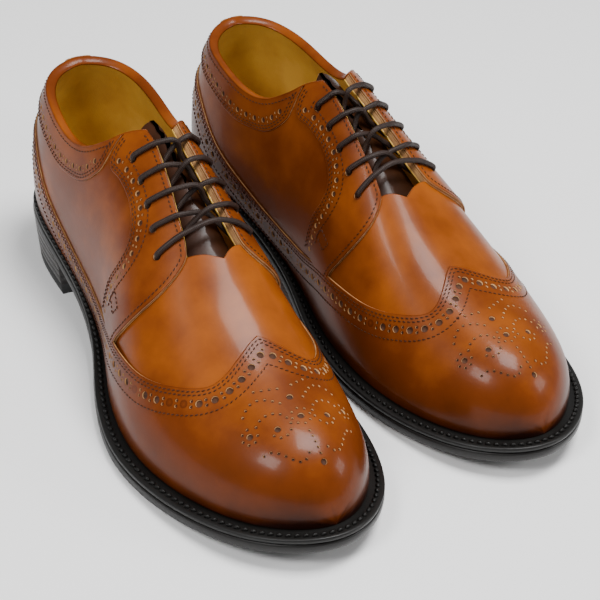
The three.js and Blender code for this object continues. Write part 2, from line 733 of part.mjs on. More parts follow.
// Both ends are tucked in along the lining: station, height and how far they stand off it.
const LACE_END = [[4.3, 0.66, 0], [4.15, 0.57, 0.5], [4.05, 0.48, 1.2], [3.95, 0.4, 1.6]];
const sideStation = (side, station) => (side > 0 ? station : STATIONS - station);
const throatHeight = (station) => {
  const next = Math.max(1, THROAT.findIndex(([s]) => s >= station));
  const [[s0, h0], [s1, h1]] = [THROAT[next - 1], THROAT[next]];
  return h0 + ((h1 - h0) * (station - s0)) / (s1 - s0);
};

// One lace: a bar over the bottom holes, then both ends cross to and fro up to the top holes.
function laceRoute(facingTop) {
  const raise = (depths) => depths.map((rows) => rows.map((d) => d + LACE / 2 + LACE_SLACK));
  const topDepth = { 1: raise(facingTop.outer), [-1]: raise(facingTop.inner) };
  const underDepth = -LINING_DEPTH - LACE / 2 - LACE_SLACK;
  const over = (side, station, height) =>
    layerPoint(sideStation(side, station), height, topDepth[side]);
  const under = (side, station, height) =>
    layerPoint(sideStation(side, station), height, underDepth);
  const hole = (k) => eyelets[EYELETS - 1 - k]; // counted from the bottom
  const strand = (start, lift) => {
    const points = [];
    let side = start;
    for (let k = 0; k + 1 < EYELETS; k += 1) {
      const from = hole(k);
      const to = hole(k + 1);
      const along = (share) => THREE.MathUtils.lerp(from.station, to.station, share);
      const edge = (share) => throatHeight(along(share)) + PAST_EDGE;
      points.push(under(side, from.station, from.height));
      points.push(under(side, along(0.3), edge(0.3)));
      points.push(layerPoint(along(0.5), 1, MID_THROAT + lift * CROSSING));
      points.push(over(-side, along(0.7), edge(0.7)));
      points.push(over(-side, along(0.85), (edge(0.85) + to.height) / 2));
      points.push(over(-side, to.station, to.height));
      side = -side;
    }
    const last = hole(EYELETS - 1);
    points.push(under(side, last.station, last.height));
    LACE_END.forEach(([station, height, off]) => {
      points.push(layerPoint(sideStation(side, station), height, underDepth - off));
    });
    return points;
  };
  const low = hole(0);
  const edge = throatHeight(low.station) + PAST_EDGE;
  const halfBar = (side) => [
    over(side, low.station, low.height),
    over(side, low.station, (low.height + edge) / 2),
    over(side, low.station, edge),
  ];
  return [
    ...strand(-1, -1).reverse(),
    ...halfBar(-1),
    layerPoint(low.station, 1, BAR_RISE),
    ...halfBar(1).reverse(),
    ...strand(1, 1),
  ];
}

function tube(points, diameter) {
  const route = new THREE.CatmullRomCurve3(points);
  route.getUtoTmapping = (u) => u; // a step at each point of the route
  const section = new THREE.Shape(
    Array.from({ length: 8 }, (_, k) => {
      const angle = ((k + 0.5) / 8) * 2 * Math.PI;
      return new THREE.Vector2(Math.cos(angle), Math.sin(angle)).multiplyScalar(diameter / 2);
    }),
  );
  return new THREE.ExtrudeGeometry(section, {
    steps: points.length - 1,
    extrudePath: route,
    bevelEnabled: false,
  });
}

function lacePieces(facingTop) {
  const route = laceRoute(facingTop);
  const aglet = (end, before) => {
    const along = end.clone().sub(before).normalize();
    const start = end.clone().addScaledVector(along, GAP);
    const finish = start.clone().addScaledVector(along, AGLET_LENGTH);
    return tube([start, start.clone().lerp(finish, 0.5), finish], AGLET);
  };
  const count = route.length;
  return {
    lace: tube(route, LACE),
    aglet_1: aglet(route[0], route[1]),
    aglet_2: aglet(route[count - 1], route[count - 2]),
  };
}

// ---------------------------------------------------------------- materials
const calf = { color: 0x8a4413, roughness: 0.32, metalness: 0 };
const materials = {
  cap: calf,
  vamp: { ...calf, color: 0x9a4d17 },
  quarter: { ...calf, color: 0x93480f },
  trim: { ...calf, color: 0x7d3c10 },
  lining: { color: 0xb98a1e, roughness: 0.6, metalness: 0 },
  sole: { color: 0x14100e, roughness: 0.45, metalness: 0 },
  rubber: { color: 0x161616, roughness: 0.7, metalness: 0 },
  stiffener: { color: 0xb59a76, roughness: 0.9, metalness: 0 },
  cork: { color: 0x9c7040, roughness: 0.95, metalness: 0 },
  steel: { color: 0x8d9096, roughness: 0.35, metalness: 1 },
  lace: { color: 0x3a2317, roughness: 0.6, metalness: 0 },
};
const madeOf = {
  wing_cap: "cap",
  vamp: "vamp",
  tongue: "trim",
  backstay: "trim",
  quarter_lining: "lining",
  vamp_lining: "lining",
  sock_lining: "lining",
  toe_puff: "stiffener",
  heel_counter: "stiffener",
  insole: "stiffener",
  cork_filler: "cork",
  shank: "steel",
  top_piece: "rubber",
  lace: "lace",
  aglet_1: "lace",
  aglet_2: "lace",
};
const materialOf = (name) => {
  if (madeOf[name]) return materials[madeOf[name]];
  return materials[/outsole|welt|heel/.test(name) ? "sole" : "quarter"];
};

// ---------------------------------------------------------------- the pair
function buildShoe() {
  const { geometries, facingTop } = upperPieces();
  return {
    ...bottomPieces(),
    ...geometries,
    tongue: tongueGeometry(),
    ...lacePieces(facingTop),
  };
}

const shoe = buildShoe();

function placeShoe(foot) {
  const group = new THREE.Group();
  for (const [name, geometry] of Object.entries(shoe)) {
    const mesh = new THREE.Mesh(geometry, new THREE.MeshStandardMaterial(materialOf(name)));
    mesh.name = `${foot}_${name}`;
    group.add(mesh);
  }
  const side = foot === "right" ? 1 : -1;
  group.scale.x = side;
  group.rotation.z = THREE.MathUtils.degToRad(-side * TOE_OUT);
  group.position.set((side * SHOE_SPREAD) / 2, foot === "right" ? 0 : -LEFT_SHOE_BACK, 0);
  return group;
}

const pair = new THREE.Group();
pair.add(placeShoe("right"), placeShoe("left"));
const footprint = new THREE.Box3().setFromObject(pair, true).getCenter(new THREE.Vector3());
for (const foot of pair.children) foot.position.sub(footprint.setZ(0));

export default pair;
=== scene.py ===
import math

import bmesh
import bpy
import numpy as np
from mathutils import Matrix, Vector, geometry


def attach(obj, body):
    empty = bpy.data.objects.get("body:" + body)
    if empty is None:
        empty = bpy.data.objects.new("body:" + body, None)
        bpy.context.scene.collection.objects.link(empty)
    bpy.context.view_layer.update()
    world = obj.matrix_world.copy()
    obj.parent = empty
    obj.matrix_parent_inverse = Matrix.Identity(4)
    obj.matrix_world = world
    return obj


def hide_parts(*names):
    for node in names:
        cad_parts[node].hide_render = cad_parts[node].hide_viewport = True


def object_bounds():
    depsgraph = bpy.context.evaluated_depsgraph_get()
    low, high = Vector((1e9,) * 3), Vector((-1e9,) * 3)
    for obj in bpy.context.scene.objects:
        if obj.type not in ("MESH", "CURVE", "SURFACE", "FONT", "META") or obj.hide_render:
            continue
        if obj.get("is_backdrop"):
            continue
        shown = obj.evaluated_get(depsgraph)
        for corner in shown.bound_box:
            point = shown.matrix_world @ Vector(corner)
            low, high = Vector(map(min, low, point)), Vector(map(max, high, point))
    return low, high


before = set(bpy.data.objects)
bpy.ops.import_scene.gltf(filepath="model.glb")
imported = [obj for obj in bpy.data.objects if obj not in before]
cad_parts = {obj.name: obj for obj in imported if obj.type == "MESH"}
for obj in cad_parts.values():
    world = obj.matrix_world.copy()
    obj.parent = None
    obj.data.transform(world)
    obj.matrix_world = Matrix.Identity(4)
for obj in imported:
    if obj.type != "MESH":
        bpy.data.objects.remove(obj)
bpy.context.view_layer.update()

# ------------------------------------------------------------------ camera
# A long lens on a stand above and in front of the toes, turned a little towards the
# outer side of the right shoe.
LENS_IN_WIDTHS = 2.706  # focal length as a share of the picture's width
camera_data = bpy.data.cameras.new("camera")
camera_data.sensor_width = 36
camera_data.lens = 36 * LENS_IN_WIDTHS
camera_data.clip_end = 20
camera = bpy.data.objects.new("camera", camera_data)
bpy.context.scene.collection.objects.link(camera)
bpy.context.scene.camera = camera


def aim(azimuth, elevation, roll, target, distance):
    """Places the camera at a distance from the target, on the line that rises by elevation and
    points away by azimuth (0 looks along +Y), then turns it about that line by roll."""
    turn, rise, tilt = map(math.radians, (azimuth, elevation, roll))
    back = Vector((math.sin(turn) * math.cos(rise), -math.cos(turn) * math.cos(rise),
                   math.sin(rise)))
    right = (-back).cross(Vector((0, 0, 1))).normalized()
    up = right.cross(-back)
    right, up = (right * math.cos(tilt) + up * math.sin(tilt),
                 up * math.cos(tilt) - right * math.sin(tilt))
    camera.matrix_world = Matrix((right, up, back)).transposed().to_4x4()
    camera.location = Vector(target) + back * distance


aim(azimuth=145.93, elevation=37.18, roll=4.23, target=(0.0083, 0.0281, 0.0448), distance=0.79256)

# ------------------------------------------------------------------ the last and the outsoles
# The outsole is a 5.4 mm leather sole, cut a little larger than the last, flat at the heel and
# curved up at the toe. Its edge is trimmed, inked black, waxed and burnished with a hot iron.
# Stations run round the last: 0 at the back of the heel, 11 at the toe tip, 22 back at the heel.
STATIONS = 22
TOE = 11
LAST_LENGTH = 299.0
BALL_Y = 200.0
HEEL_RISE = 26.0
TOE_SPRING = 11.0
OUTER_SIDE = [
    (0, 0.6), (24.3, 10.7), (34, 35), (33.5, 68), (33, 102), (36, 136),
    (48, 168), (54, 198), (50, 228), (40, 257), (24, 283), (-6, 300),
]
INNER_SIDE = [
    (0, 0.6), (-24.3, 10.7), (-34, 35), (-32.5, 68), (-31, 102), (-33, 136),
    (-43, 168), (-48, 200), (-47, 232), (-41, 260), (-30, 283), (-6, 300),
]
FEATHER = np.array(OUTER_SIDE + INNER_SIDE[-2:0:-1], float)
TOE_OUT = math.radians(3.6)
HEEL_SPOT = {"right": (46.5, -149.408), "left": (-46.5, -153.408)}
OUTSOLE = 5.4
WELT_HIGH = 8.55


def smooth(t):
    """Rises from 0 to 1 as 3 t squared less 2 t cubed, and is level outside."""
    t = np.clip(t, 0, 1)
    return t * t * (3 - 2 * t)


def spline_weights(t):
    """The four weights of a uniform cubic B-spline at t between two control points."""
    return ((1 - t) ** 3 / 6, (3 * t**3 - 6 * t**2 + 4) / 6,
            (-3 * t**3 + 3 * t**2 + 3 * t + 1) / 6, t**3 / 6)


def on_loop(points, station):
    """Point of a closed B-spline: the four nearest control points, times their weights."""
    first = np.floor(station).astype(int)
    weights = spline_weights(station - first)
    return sum(w[..., None] * points[(first + k - 1) % STATIONS] for k, w in enumerate(weights))


def fold(station):
    """The same station on the outer side: distance from the heel, 0 to 11, either way round."""
    turn = np.mod(station, STATIONS)
    return np.where(turn > TOE, STATIONS - turn, turn)


def rocker(y):
    """Height of the sole's underside: an S-shaped rise to the heel, a power of 1.8 to the toe."""
    behind = HEEL_RISE * smooth((BALL_Y - y) / (BALL_Y * 0.925))
    ahead = TOE_SPRING * (np.maximum(y - BALL_Y, 0) / (LAST_LENGTH - BALL_Y)) ** 1.8
    return np.where(y < BALL_Y, behind, ahead)


def edge_point(station, out):
    """Feather line pushed outwards in plan, square to itself, by out."""
    step = 1e-3
    along = on_loop(FEATHER, station + step) - on_loop(FEATHER, station - step)
    along /= np.linalg.norm(along, axis=-1, keepdims=True)
    square = np.stack([along[..., 1], -along[..., 0]], -1)
    return on_loop(FEATHER, station) + square * np.asarray(out)[..., None]


def sole_edge(station):
    """How far the sole stands out: 2.8 mm round the heel, growing to 7.6 mm at the forepart."""
    return 2.8 + 4.8 * smooth((fold(station) - 3.6) / 2.4)


def stand(points, foot):
    """Puts a right shoe's points where that foot's shoe stands. The left one is mirrored."""
    side = 1 if foot == "right" else -1
    x, y = points[:, 0] * side, points[:, 1]
    turn = -side * TOE_OUT
    turned = np.stack([x * math.cos(turn) - y * math.sin(turn),
                       x * math.sin(turn) + y * math.cos(turn), points[:, 2]], -1)
    return (turned + (*HEEL_SPOT[foot], 0)) / 1000


def new_piece(foot, name, points, faces, materials, finish="sole", body="shoe", nodes=(),
              face_kinds=None, shades=None, uv=None, normals=None, weld=False):
    """Makes one shoe's copy of a piece from points in mm and faces, and hands it to the frame.
    shades is a value for each point that its material reads; normals are smooth-shading ones."""
    mesh = bpy.data.meshes.new(f"{foot}_{name}")
    mirrored = foot == "left"
    faces = [np.asarray(part) for part in faces]
    rows = [row for part in faces for row in (part[:, ::-1] if mirrored else part).tolist()]
    mesh.from_pydata(stand(points, foot).tolist(), [], rows)
    mesh.shade_smooth()
    if face_kinds is not None:
        mesh.polygons.foreach_set("material_index", np.concatenate(face_kinds).astype(np.int32))
    loops = np.zeros(len(mesh.loops), np.int32)
    mesh.loops.foreach_get("vertex_index", loops)
    if shades is not None:
        shade = mesh.attributes.new("shade", "FLOAT", "POINT")
        shade.data.foreach_set("value", np.asarray(shades, np.float32))
    if uv is not None:
        layer = mesh.uv_layers.new(name="along")
        layer.data.foreach_set("uv", np.asarray(uv, np.float32)[loops].ravel())
    if normals is not None:
        own = np.zeros(len(mesh.vertices) * 3, np.float32)
        mesh.vertex_normals.foreach_get("vector", own)
        own = own.reshape(-1, 3)
        given = np.isfinite(normals[:, 0])
        start = stand(np.zeros((1, 3)), foot)
        own[given] = (stand(normals * 1000, foot) - start)[given]
        mesh.normals_split_custom_set_from_vertices(own.tolist())
    if weld:
        body_mesh = bmesh.new()
        body_mesh.from_mesh(mesh)
        bmesh.ops.remove_doubles(body_mesh, verts=body_mesh.verts, dist=2e-6)
        body_mesh.to_mesh(mesh)
        body_mesh.free()
        mesh.shade_smooth()
    for material in materials:
        mesh.materials.append(material)
    piece = bpy.data.objects.new(mesh.name, mesh)
    bpy.context.scene.collection.objects.link(piece)
    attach(piece, f"{foot}_{body}")
    if nodes:
        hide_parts(*(f"{foot}_{node}" for node in nodes))
    return piece


def pair_of(name, *shape_and_finish, **details):
    """Makes the same piece for the right and the left shoe."""
    for foot in ("right", "left"):
        new_piece(foot, name, *shape_and_finish, **details)


def trimmed_layer(profile, count=220, last=float(TOE), edge=sole_edge):
    """A flat layer from the heel to the last station. Its edge profile, (out, height function)
    pairs from top to bottom, is carried round the feather line, and rungs across the shoe close
    it above and below. Short of the toe, the open front is closed by the last rung."""
    half = np.linspace(0, last, count // 2 + 1)
    loop = np.concatenate([half, STATIONS - half[::-1]])
    rings = []
    for out, height in profile:
        plan = edge_point(loop, edge(loop) + out)
        rings.append(np.column_stack([plan, height(plan[:, 1])]))
    around, down = len(loop), len(rings)
    points = np.concatenate(rings)
    k = np.arange(around)
    walls = [np.stack([k + r * around, k + (r + 1) * around, np.roll(k, -1) + (r + 1) * around,
                       np.roll(k, -1) + r * around], -1) for r in range(down - 1)]
    j = np.arange(around // 2 - 1)
    top = np.stack([j, j + 1, around - 2 - j, around - 1 - j], -1)
    low = (top + (down - 1) * around)[:, ::-1]
    return points, [*walls, top, low]


def fresh_material(name, roughness, **shader):
    """A material with its own Principled shader and constants set on the shader's sockets."""
    material = bpy.data.materials.new(name)
    material.use_nodes = True
    nodes, links = material.node_tree.nodes, material.node_tree.links
    surface = nodes["Principled BSDF"]
    surface.inputs["Roughness"].default_value = roughness
    for socket, value in shader.items():
        surface.inputs[socket.replace("_", " ")].default_value = value
    return material, nodes, links, surface


def node(nodes, kind, settings=None, **inputs):
    """A shader node with its settings and the values of its inputs."""
    made = nodes.new("ShaderNode" + kind)
    for name, value in (settings or {}).items():
        setattr(made, name, value)
    for name, value in inputs.items():
        made.inputs[name.replace("_", " ")].default_value = value
    return made


def ramp(nodes, stops):
    """A colour ramp through (place, colour) stops."""
    made = nodes.new("ShaderNodeValToRGB")
    line = made.color_ramp.elements
    while len(line) < len(stops):
        line.new(0.5)
    for element, (place, colour) in zip(line, stops):
        element.position = place
        element.color = (*colour, 1)
    return made


# Wax, dust and handling: shared by the blacked edges and by every leather.
worn = bpy.data.node_groups.new("worn surface", "ShaderNodeTree")
worn.interface.new_socket("Position", in_out="INPUT", socket_type="NodeSocketVector")
for socket_name in ("Patch Size", "Grain Size"):
    worn.interface.new_socket(socket_name, in_out="INPUT", socket_type="NodeSocketFloat")
for socket_name in ("Patches", "Grain", "Scuffs"):
    worn.interface.new_socket(socket_name, in_out="OUTPUT", socket_type="NodeSocketFloat")
w_in, w_out = worn.nodes.new("NodeGroupInput"), worn.nodes.new("NodeGroupOutput")
patches = node(worn.nodes, "TexNoise", Detail=5.0, Roughness=0.55)
grain = node(worn.nodes, "TexVoronoi", {"feature": "SMOOTH_F1"}, Smoothness=0.6)
scuffs = node(worn.nodes, "TexNoise", Detail=8.0, Roughness=0.75, Distortion=1.6)
stretched = node(worn.nodes, "Mapping", Scale=(1.0, 0.25, 1.0))
for made, size in ((patches, "Patch Size"), (grain, "Grain Size"), (scuffs, "Patch Size")):
    worn.links.new(w_in.outputs[size], made.inputs["Scale"])
worn.links.new(w_in.outputs["Position"], patches.inputs["Vector"])
worn.links.new(w_in.outputs["Position"], grain.inputs["Vector"])
worn.links.new(w_in.outputs["Position"], stretched.inputs["Vector"])
worn.links.new(stretched.outputs["Vector"], scuffs.inputs["Vector"])
worn.links.new(patches.outputs["Fac"], w_out.inputs["Patches"])
worn.links.new(grain.outputs["Distance"], w_out.inputs["Grain"])
worn.links.new(scuffs.outputs["Fac"], w_out.inputs["Scuffs"])


def surface_wear(nodes, links, patch_size, grain_size):
    """Places the wear group on object coordinates, with patches and grain that many to a metre."""
    place = nodes.new("ShaderNodeTexCoord")
    group = nodes.new("ShaderNodeGroup")
    group.node_tree = worn
    group.inputs["Patch Size"].default_value = patch_size
    group.inputs["Grain Size"].default_value = grain_size
    links.new(place.outputs["Object"], group.inputs["Position"])
    return group


def bump(nodes, links, surface, height, strength, distance):
    """Relief of a given depth in metres, from a height between 0 and 1."""
    relief = node(nodes, "Bump", Strength=strength, Distance=distance)
    links.new(height, relief.inputs["Height"])
    links.new(relief.outputs["Normal"], surface.inputs["Normal"])
    return relief


def blacked_edge(name, roughness, dark, pale, ridges=0.0):
    """Inked and waxed leather: near black, greyer where handling has rubbed the wax off."""
    material, nodes, links, surface = fresh_material(name, roughness, Coat_Weight=0.08,
                                                     Coat_Roughness=0.2)
    surface.inputs["Specular IOR Level"].default_value = 0.28
    wear = surface_wear(nodes, links, 55, 1500)
    colours = ramp(nodes, [(0.35, dark), (0.62, dark), (0.8, pale)])
    links.new(wear.outputs["Scuffs"], colours.inputs["Fac"])
    links.new(colours.outputs["Color"], surface.inputs["Base Color"])
    gloss = node(nodes, "MapRange", To_Min=roughness * 0.75, To_Max=roughness * 1.5)
    links.new(wear.outputs["Patches"], gloss.inputs["Value"])
    links.new(gloss.outputs["Result"], surface.inputs["Roughness"])
    height = wear.outputs["Grain"]
    if ridges:
        place = nodes.new("ShaderNodeTexCoord")
        lines = node(nodes, "TexWave", {"bands_direction": "Z"}, Scale=ridges, Distortion=1.2)
        links.new(place.outputs["Object"], lines.inputs["Vector"])
        mixed = node(nodes, "Math", {"operation": "MULTIPLY_ADD"})
        mixed.inputs[1].default_value = 0.6
        links.new(lines.outputs["Fac"], mixed.inputs[0])
        links.new(height, mixed.inputs[2])
        height = mixed.outputs[0]
    bump(nodes, links, surface, height, 0.25, 0.0002)
    return material


edge_black = blacked_edge("waxed black edge", 0.38, (0.006, 0.005, 0.0045), (0.03, 0.027, 0.024))
sole_profile = [
    (-3.0, lambda y: rocker(y) + OUTSOLE), (-0.5, lambda y: rocker(y) + OUTSOLE),
    (0.0, lambda y: rocker(y) + OUTSOLE - 0.25), (0.35, lambda y: rocker(y) + OUTSOLE - 1.2),
    (0.5, lambda y: rocker(y) + 2.8), (0.35, lambda y: rocker(y) + 1.2),
    (0.0, lambda y: rocker(y) + 0.45), (-0.7, lambda y: rocker(y) + 0.05),
    (-1.6, lambda y: rocker(y)), (-9.0, lambda y: rocker(y)),
]
outsole_shape = trimmed_layer(sole_profile, count=320)
pair_of("outsole_leather", *outsole_shape, [edge_black], nodes=["outsole"], weld=True)

# ------------------------------------------------------------------ heels
# Each heel is a wedge-shaped rand, three leather lifts and a rubber top piece, nailed together,
# trimmed to one tapering wall, inked black and waxed. Fine lines show where the layers meet.
HEEL_BREAST = 3.03  # station of the heel's flat front
LIFT_STEP = 4.44
TOP_PIECE = 6.0
LIFTS = 3
LIFT_JOINT = 0.08  # the fine line between two lifts
HEEL_INSET = 0.4  # how far the top lift stands in from the sole's edge
HEEL_TAPER = 0.5  # how much further in the wall stands at each lift below it
RAND_LOW = TOP_PIECE + LIFTS * LIFT_STEP + LIFT_JOINT
heel_black = blacked_edge("waxed heel stack", 0.33, (0.014, 0.011, 0.010),
                          (0.06, 0.05, 0.045), 260)
heel_rubber = blacked_edge("top piece rubber", 0.6, (0.018, 0.018, 0.018), (0.05, 0.05, 0.05))


def level(height):
    """The same height everywhere."""
    return lambda y: np.full_like(y, height)


def heel_layer(low, high, taper_low, taper_high, rounded=0.25):
    """One layer of the stack: a wall that tapers from one size to another, with eased rims."""
    return trimmed_layer([
        (-taper_high - 4, high), (-taper_high - rounded, high),
        (-taper_high, lambda y: high(y) - rounded), (-taper_low, lambda y: low(y) + rounded),
        (-taper_low - rounded, low), (-taper_low - 4, low),
    ], count=120, last=HEEL_BREAST)


heel_layers = [("heel_rand_leather", "heel_rand", level(RAND_LOW),
                lambda y: rocker(y) - LIFT_JOINT, HEEL_INSET, 0.0)]
for number in range(LIFTS):
    base = TOP_PIECE + number * LIFT_STEP
    heel_layers.append((f"heel_lift_{number + 1}_leather", f"heel_lift_{number + 1}",
                        level(base + LIFT_JOINT), level(base + LIFT_STEP),
                        HEEL_INSET + HEEL_TAPER * (LIFTS - number),
                        HEEL_INSET + HEEL_TAPER * (LIFTS - 1 - number)))
for name, cad_node, low, high, taper_low, taper_high in heel_layers:
    shape = heel_layer(low, high, taper_low, taper_high)
    pair_of(name, *shape, [heel_black], nodes=[cad_node], weld=True)
top_shape = heel_layer(level(0), level(TOP_PIECE), 2.4, 1.9, 0.35)
pair_of("top_piece_rubber", *top_shape, [heel_rubber], "rubber", nodes=["top_piece"],
        weld=True)

# ------------------------------------------------------------------ welts
# The welt is a 2.8 mm leather strip sewn to the upper under the feather line, and stitched
# through to the outsole with thick waxed thread. Its top is inked, waxed and wheeled.
WELT_STITCH = 3.9
welt_stations = np.linspace(0, STATIONS, 441)[:-1]
welt_rings = []
for share, inward, drop in (
        (0, 1.1, 2.8), (0, -0.05, 2.4), (0, -0.25, 1.4), (0, -0.05, 0.45), (0.05, 0.1, 0.08),
        (0.16, 0, 0), (0.38, 0, 0.12), (0.58, 0, 0.18), (0.78, 0, 0.12), (0.95, 0, 0),
        (1, 5.0, 0), (1, 5.2, 1.4), (1, 5.0, 2.8)):
    edge = sole_edge(welt_stations)
    plan = edge_point(welt_stations, edge * (1 - share) - inward)
    welt_rings.append(np.column_stack([plan, rocker(plan[:, 1]) + WELT_HIGH - drop]))
welt_points = np.concatenate(welt_rings)
ring, around = np.arange(len(welt_rings)), len(welt_stations)
k = np.arange(around)
welt_faces = [np.stack([k + r * around, k + (r + 1) % len(ring) * around,
                        np.roll(k, -1) + (r + 1) % len(ring) * around,
                        np.roll(k, -1) + r * around], -1)[:, ::-1] for r in ring]
welt_black = blacked_edge("waxed black welt", 0.42, (0.005, 0.0045, 0.004), (0.022, 0.02, 0.018))
pair_of("welt_leather", welt_points, welt_faces, [welt_black], nodes=["welt"])


def even(line, pitch, closed=False):
    """The same line of 3-D points, stepped evenly along its length, about one pitch apart.
    Gives the points, the steps along the line at which they stand, and the tangents."""
    path = np.vstack([line, line[:1]]) if closed else line
    run = np.concatenate([[0], np.cumsum(np.linalg.norm(np.diff(path, axis=0), axis=1))])
    count = max(2, int(round(run[-1] / pitch)))
    at = (np.arange(count) + 0.5) / count * run[-1]
    where = np.interp(at, run, np.arange(len(path)))
    low = np.minimum(where.astype(int), len(path) - 2)
    points = path[low] + (path[low + 1] - path[low]) * (where - low)[:, None]
    tangents = path[np.minimum(low + 2, len(path) - 1)] - path[np.maximum(low - 1, 0)]
    return points, where, tangents / np.linalg.norm(tangents, axis=1, keepdims=True)


def stitches(points, tangents, normals, length, width, proud, slant=0.16, rings=7, sides=6):
    """A stitch at each point: a thread that rises out of the leather, runs along the seam and dips
    in again. Its section is an ellipse that narrows to both ends as the root of 1 - u squared,
    and its height falls off as u to the fourth."""
    across = np.cross(normals, tangents)
    tangents = tangents + across * slant
    u = np.linspace(-1, 1, rings)
    angle = np.arange(sides) / sides * 2 * np.pi
    swell = np.sqrt(np.clip(1 - u**2 * 0.92, 0, 1))
    lift = proud * (1 - u**4) - width * 0.55 * u**4
    ahead = (u * length / 2)[None, :, None, None]
    aside = (swell[:, None] * np.cos(angle) * width / 2)[None, :, :, None]
    above = (lift[:, None] + swell[:, None] * np.sin(angle) * width * 0.42)[None, :, :, None]
    grid = (points[:, None, None] + tangents[:, None, None] * ahead
            + across[:, None, None] * aside + normals[:, None, None] * above)
    count = len(points)
    base = np.arange(count)[:, None] * rings * sides
    r, a = np.meshgrid(np.arange(rings - 1), np.arange(sides), indexing="ij")
    one = (r * sides + a).ravel()
    two = (r * sides + (a + 1) % sides).ravel()
    quads = np.stack([one, two, two + sides, one + sides], -1)
    ends = np.stack([np.arange(sides)[::-1], (rings - 1) * sides + np.arange(sides)])
    faces = [(base[:, :, None] + part).reshape(-1, part.shape[1]) for part in (quads, ends)]
    uv = np.stack(np.broadcast_arrays((u * length / 2)[:, None], (angle / (2 * np.pi))[None]), -1)
    return grid.reshape(-1, 3), faces, np.tile(uv.reshape(-1, 2), (count, 1))


def thread_material(name, colour, dark, roughness):
    """Waxed thread: strands twisted round each other, so slanting ridges along each stitch. Its
    colour is darker in the grooves between the ridges, as painted shade, and varies in patches.
    """
    material, nodes, links, surface = fresh_material(name, roughness, Coat_Weight=0.03,
                                                     Coat_Roughness=0.25)
    surface.inputs["Specular IOR Level"].default_value = 0.2
    along = node(nodes, "UVMap", {"uv_map": "along"})
    twist = node(nodes, "TexWave", {"bands_direction": "DIAGONAL"}, Scale=1.1, Distortion=0.4)
    links.new(along.outputs["UV"], twist.inputs["Vector"])
    wear = surface_wear(nodes, links, 120, 2200)
    # Colour from the twist times the wear patches: darker in the twist's grooves, which is painted
    # shade, and darker in some patches, which is wear.
    colours = ramp(nodes, [(0.2, dark), (0.8, colour)])
    mixed = node(nodes, "Math", {"operation": "MULTIPLY"})
    links.new(twist.outputs["Fac"], mixed.inputs[0])
    links.new(wear.outputs["Patches"], mixed.inputs[1])
    groove_shade_and_wear = node(nodes, "Math", {"operation": "ADD"})
    groove_shade_and_wear.inputs[1].default_value = 0.25
    links.new(mixed.outputs[0], groove_shade_and_wear.inputs[0])
    links.new(groove_shade_and_wear.outputs[0], colours.inputs["Fac"])
    links.new(colours.outputs["Color"], surface.inputs["Base Color"])
    bump(nodes, links, surface, twist.outputs["Fac"], 0.5, 0.00012)
    return material


welt_thread = thread_material("waxed welt thread", (0.010, 0.009, 0.008),
                              (0.003, 0.0027, 0.0025), 0.4)
row = edge_point(welt_stations, sole_edge(welt_stations) * 0.58)
row = np.column_stack([row, rocker(row[:, 1]) + WELT_HIGH - 0.05])
spots, _, tangents = even(row, WELT_STITCH, closed=True)
upright = np.tile((0.0, 0.0, 1.0), (len(spots), 1))
welt_seam = stitches(spots, tangents, upright, 3.5, 2.1, 0.55)
pair_of("welt_stitching", welt_seam[0], welt_seam[1], [welt_thread], uv=welt_seam[2])

# ------------------------------------------------------------------ sock linings
# A thin leather sock, cemented over the insole from heel to toe. Its thinned edge meets the
# linings of the quarters and the vamp all round.
lining_gold = (0.60, 0.36, 0.055)
lining_shade = (0.40, 0.20, 0.03)


def lining_material(name, fresh, dulled):
    """Smooth drum-dyed lining leather: even colour, soft creases and duller patches from wear."""
    material, nodes, links, surface = fresh_material(name, 0.5, Coat_Weight=0.06)
    wear = surface_wear(nodes, links, 28, 1300)
    colours = ramp(nodes, [(0.3, dulled), (0.62, fresh)])
    links.new(wear.outputs["Patches"], colours.inputs["Fac"])
    links.new(colours.outputs["Color"], surface.inputs["Base Color"])
    gloss = node(nodes, "MapRange", To_Min=0.42, To_Max=0.62)
    links.new(wear.outputs["Scuffs"], gloss.inputs["Value"])
    links.new(gloss.outputs["Result"], surface.inputs["Roughness"])
    height = node(nodes, "Math", {"operation": "MULTIPLY_ADD"})
    height.inputs[1].default_value = 1.6
    links.new(wear.outputs["Scuffs"], height.inputs[0])
    links.new(wear.outputs["Grain"], height.inputs[2])
    bump(nodes, links, surface, height.outputs[0], 0.35, 0.0003)
    return material


lining_leather = lining_material("gold lining leather", lining_gold, lining_shade)
CEMENT = 0.35  # room for the cement between two layers
CORK, INSOLE, SOCK = 1.5, 2.5, 0.9
SOCK_TOP = OUTSOLE + CEMENT + CORK + CEMENT + INSOLE + CEMENT + SOCK
sock_shape = trimmed_layer([
    (-4.6, lambda y: rocker(y) + SOCK_TOP), (-3.9, lambda y: rocker(y) + SOCK_TOP - 0.1),
    (-3.7, lambda y: rocker(y) + SOCK_TOP - 0.4), (-3.7, lambda y: rocker(y) + SOCK_TOP - 0.9),
], count=200, edge=np.zeros_like)
pair_of("sock_leather", *sock_shape, [lining_leather], "lining", nodes=["sock_lining"],
        weld=True)

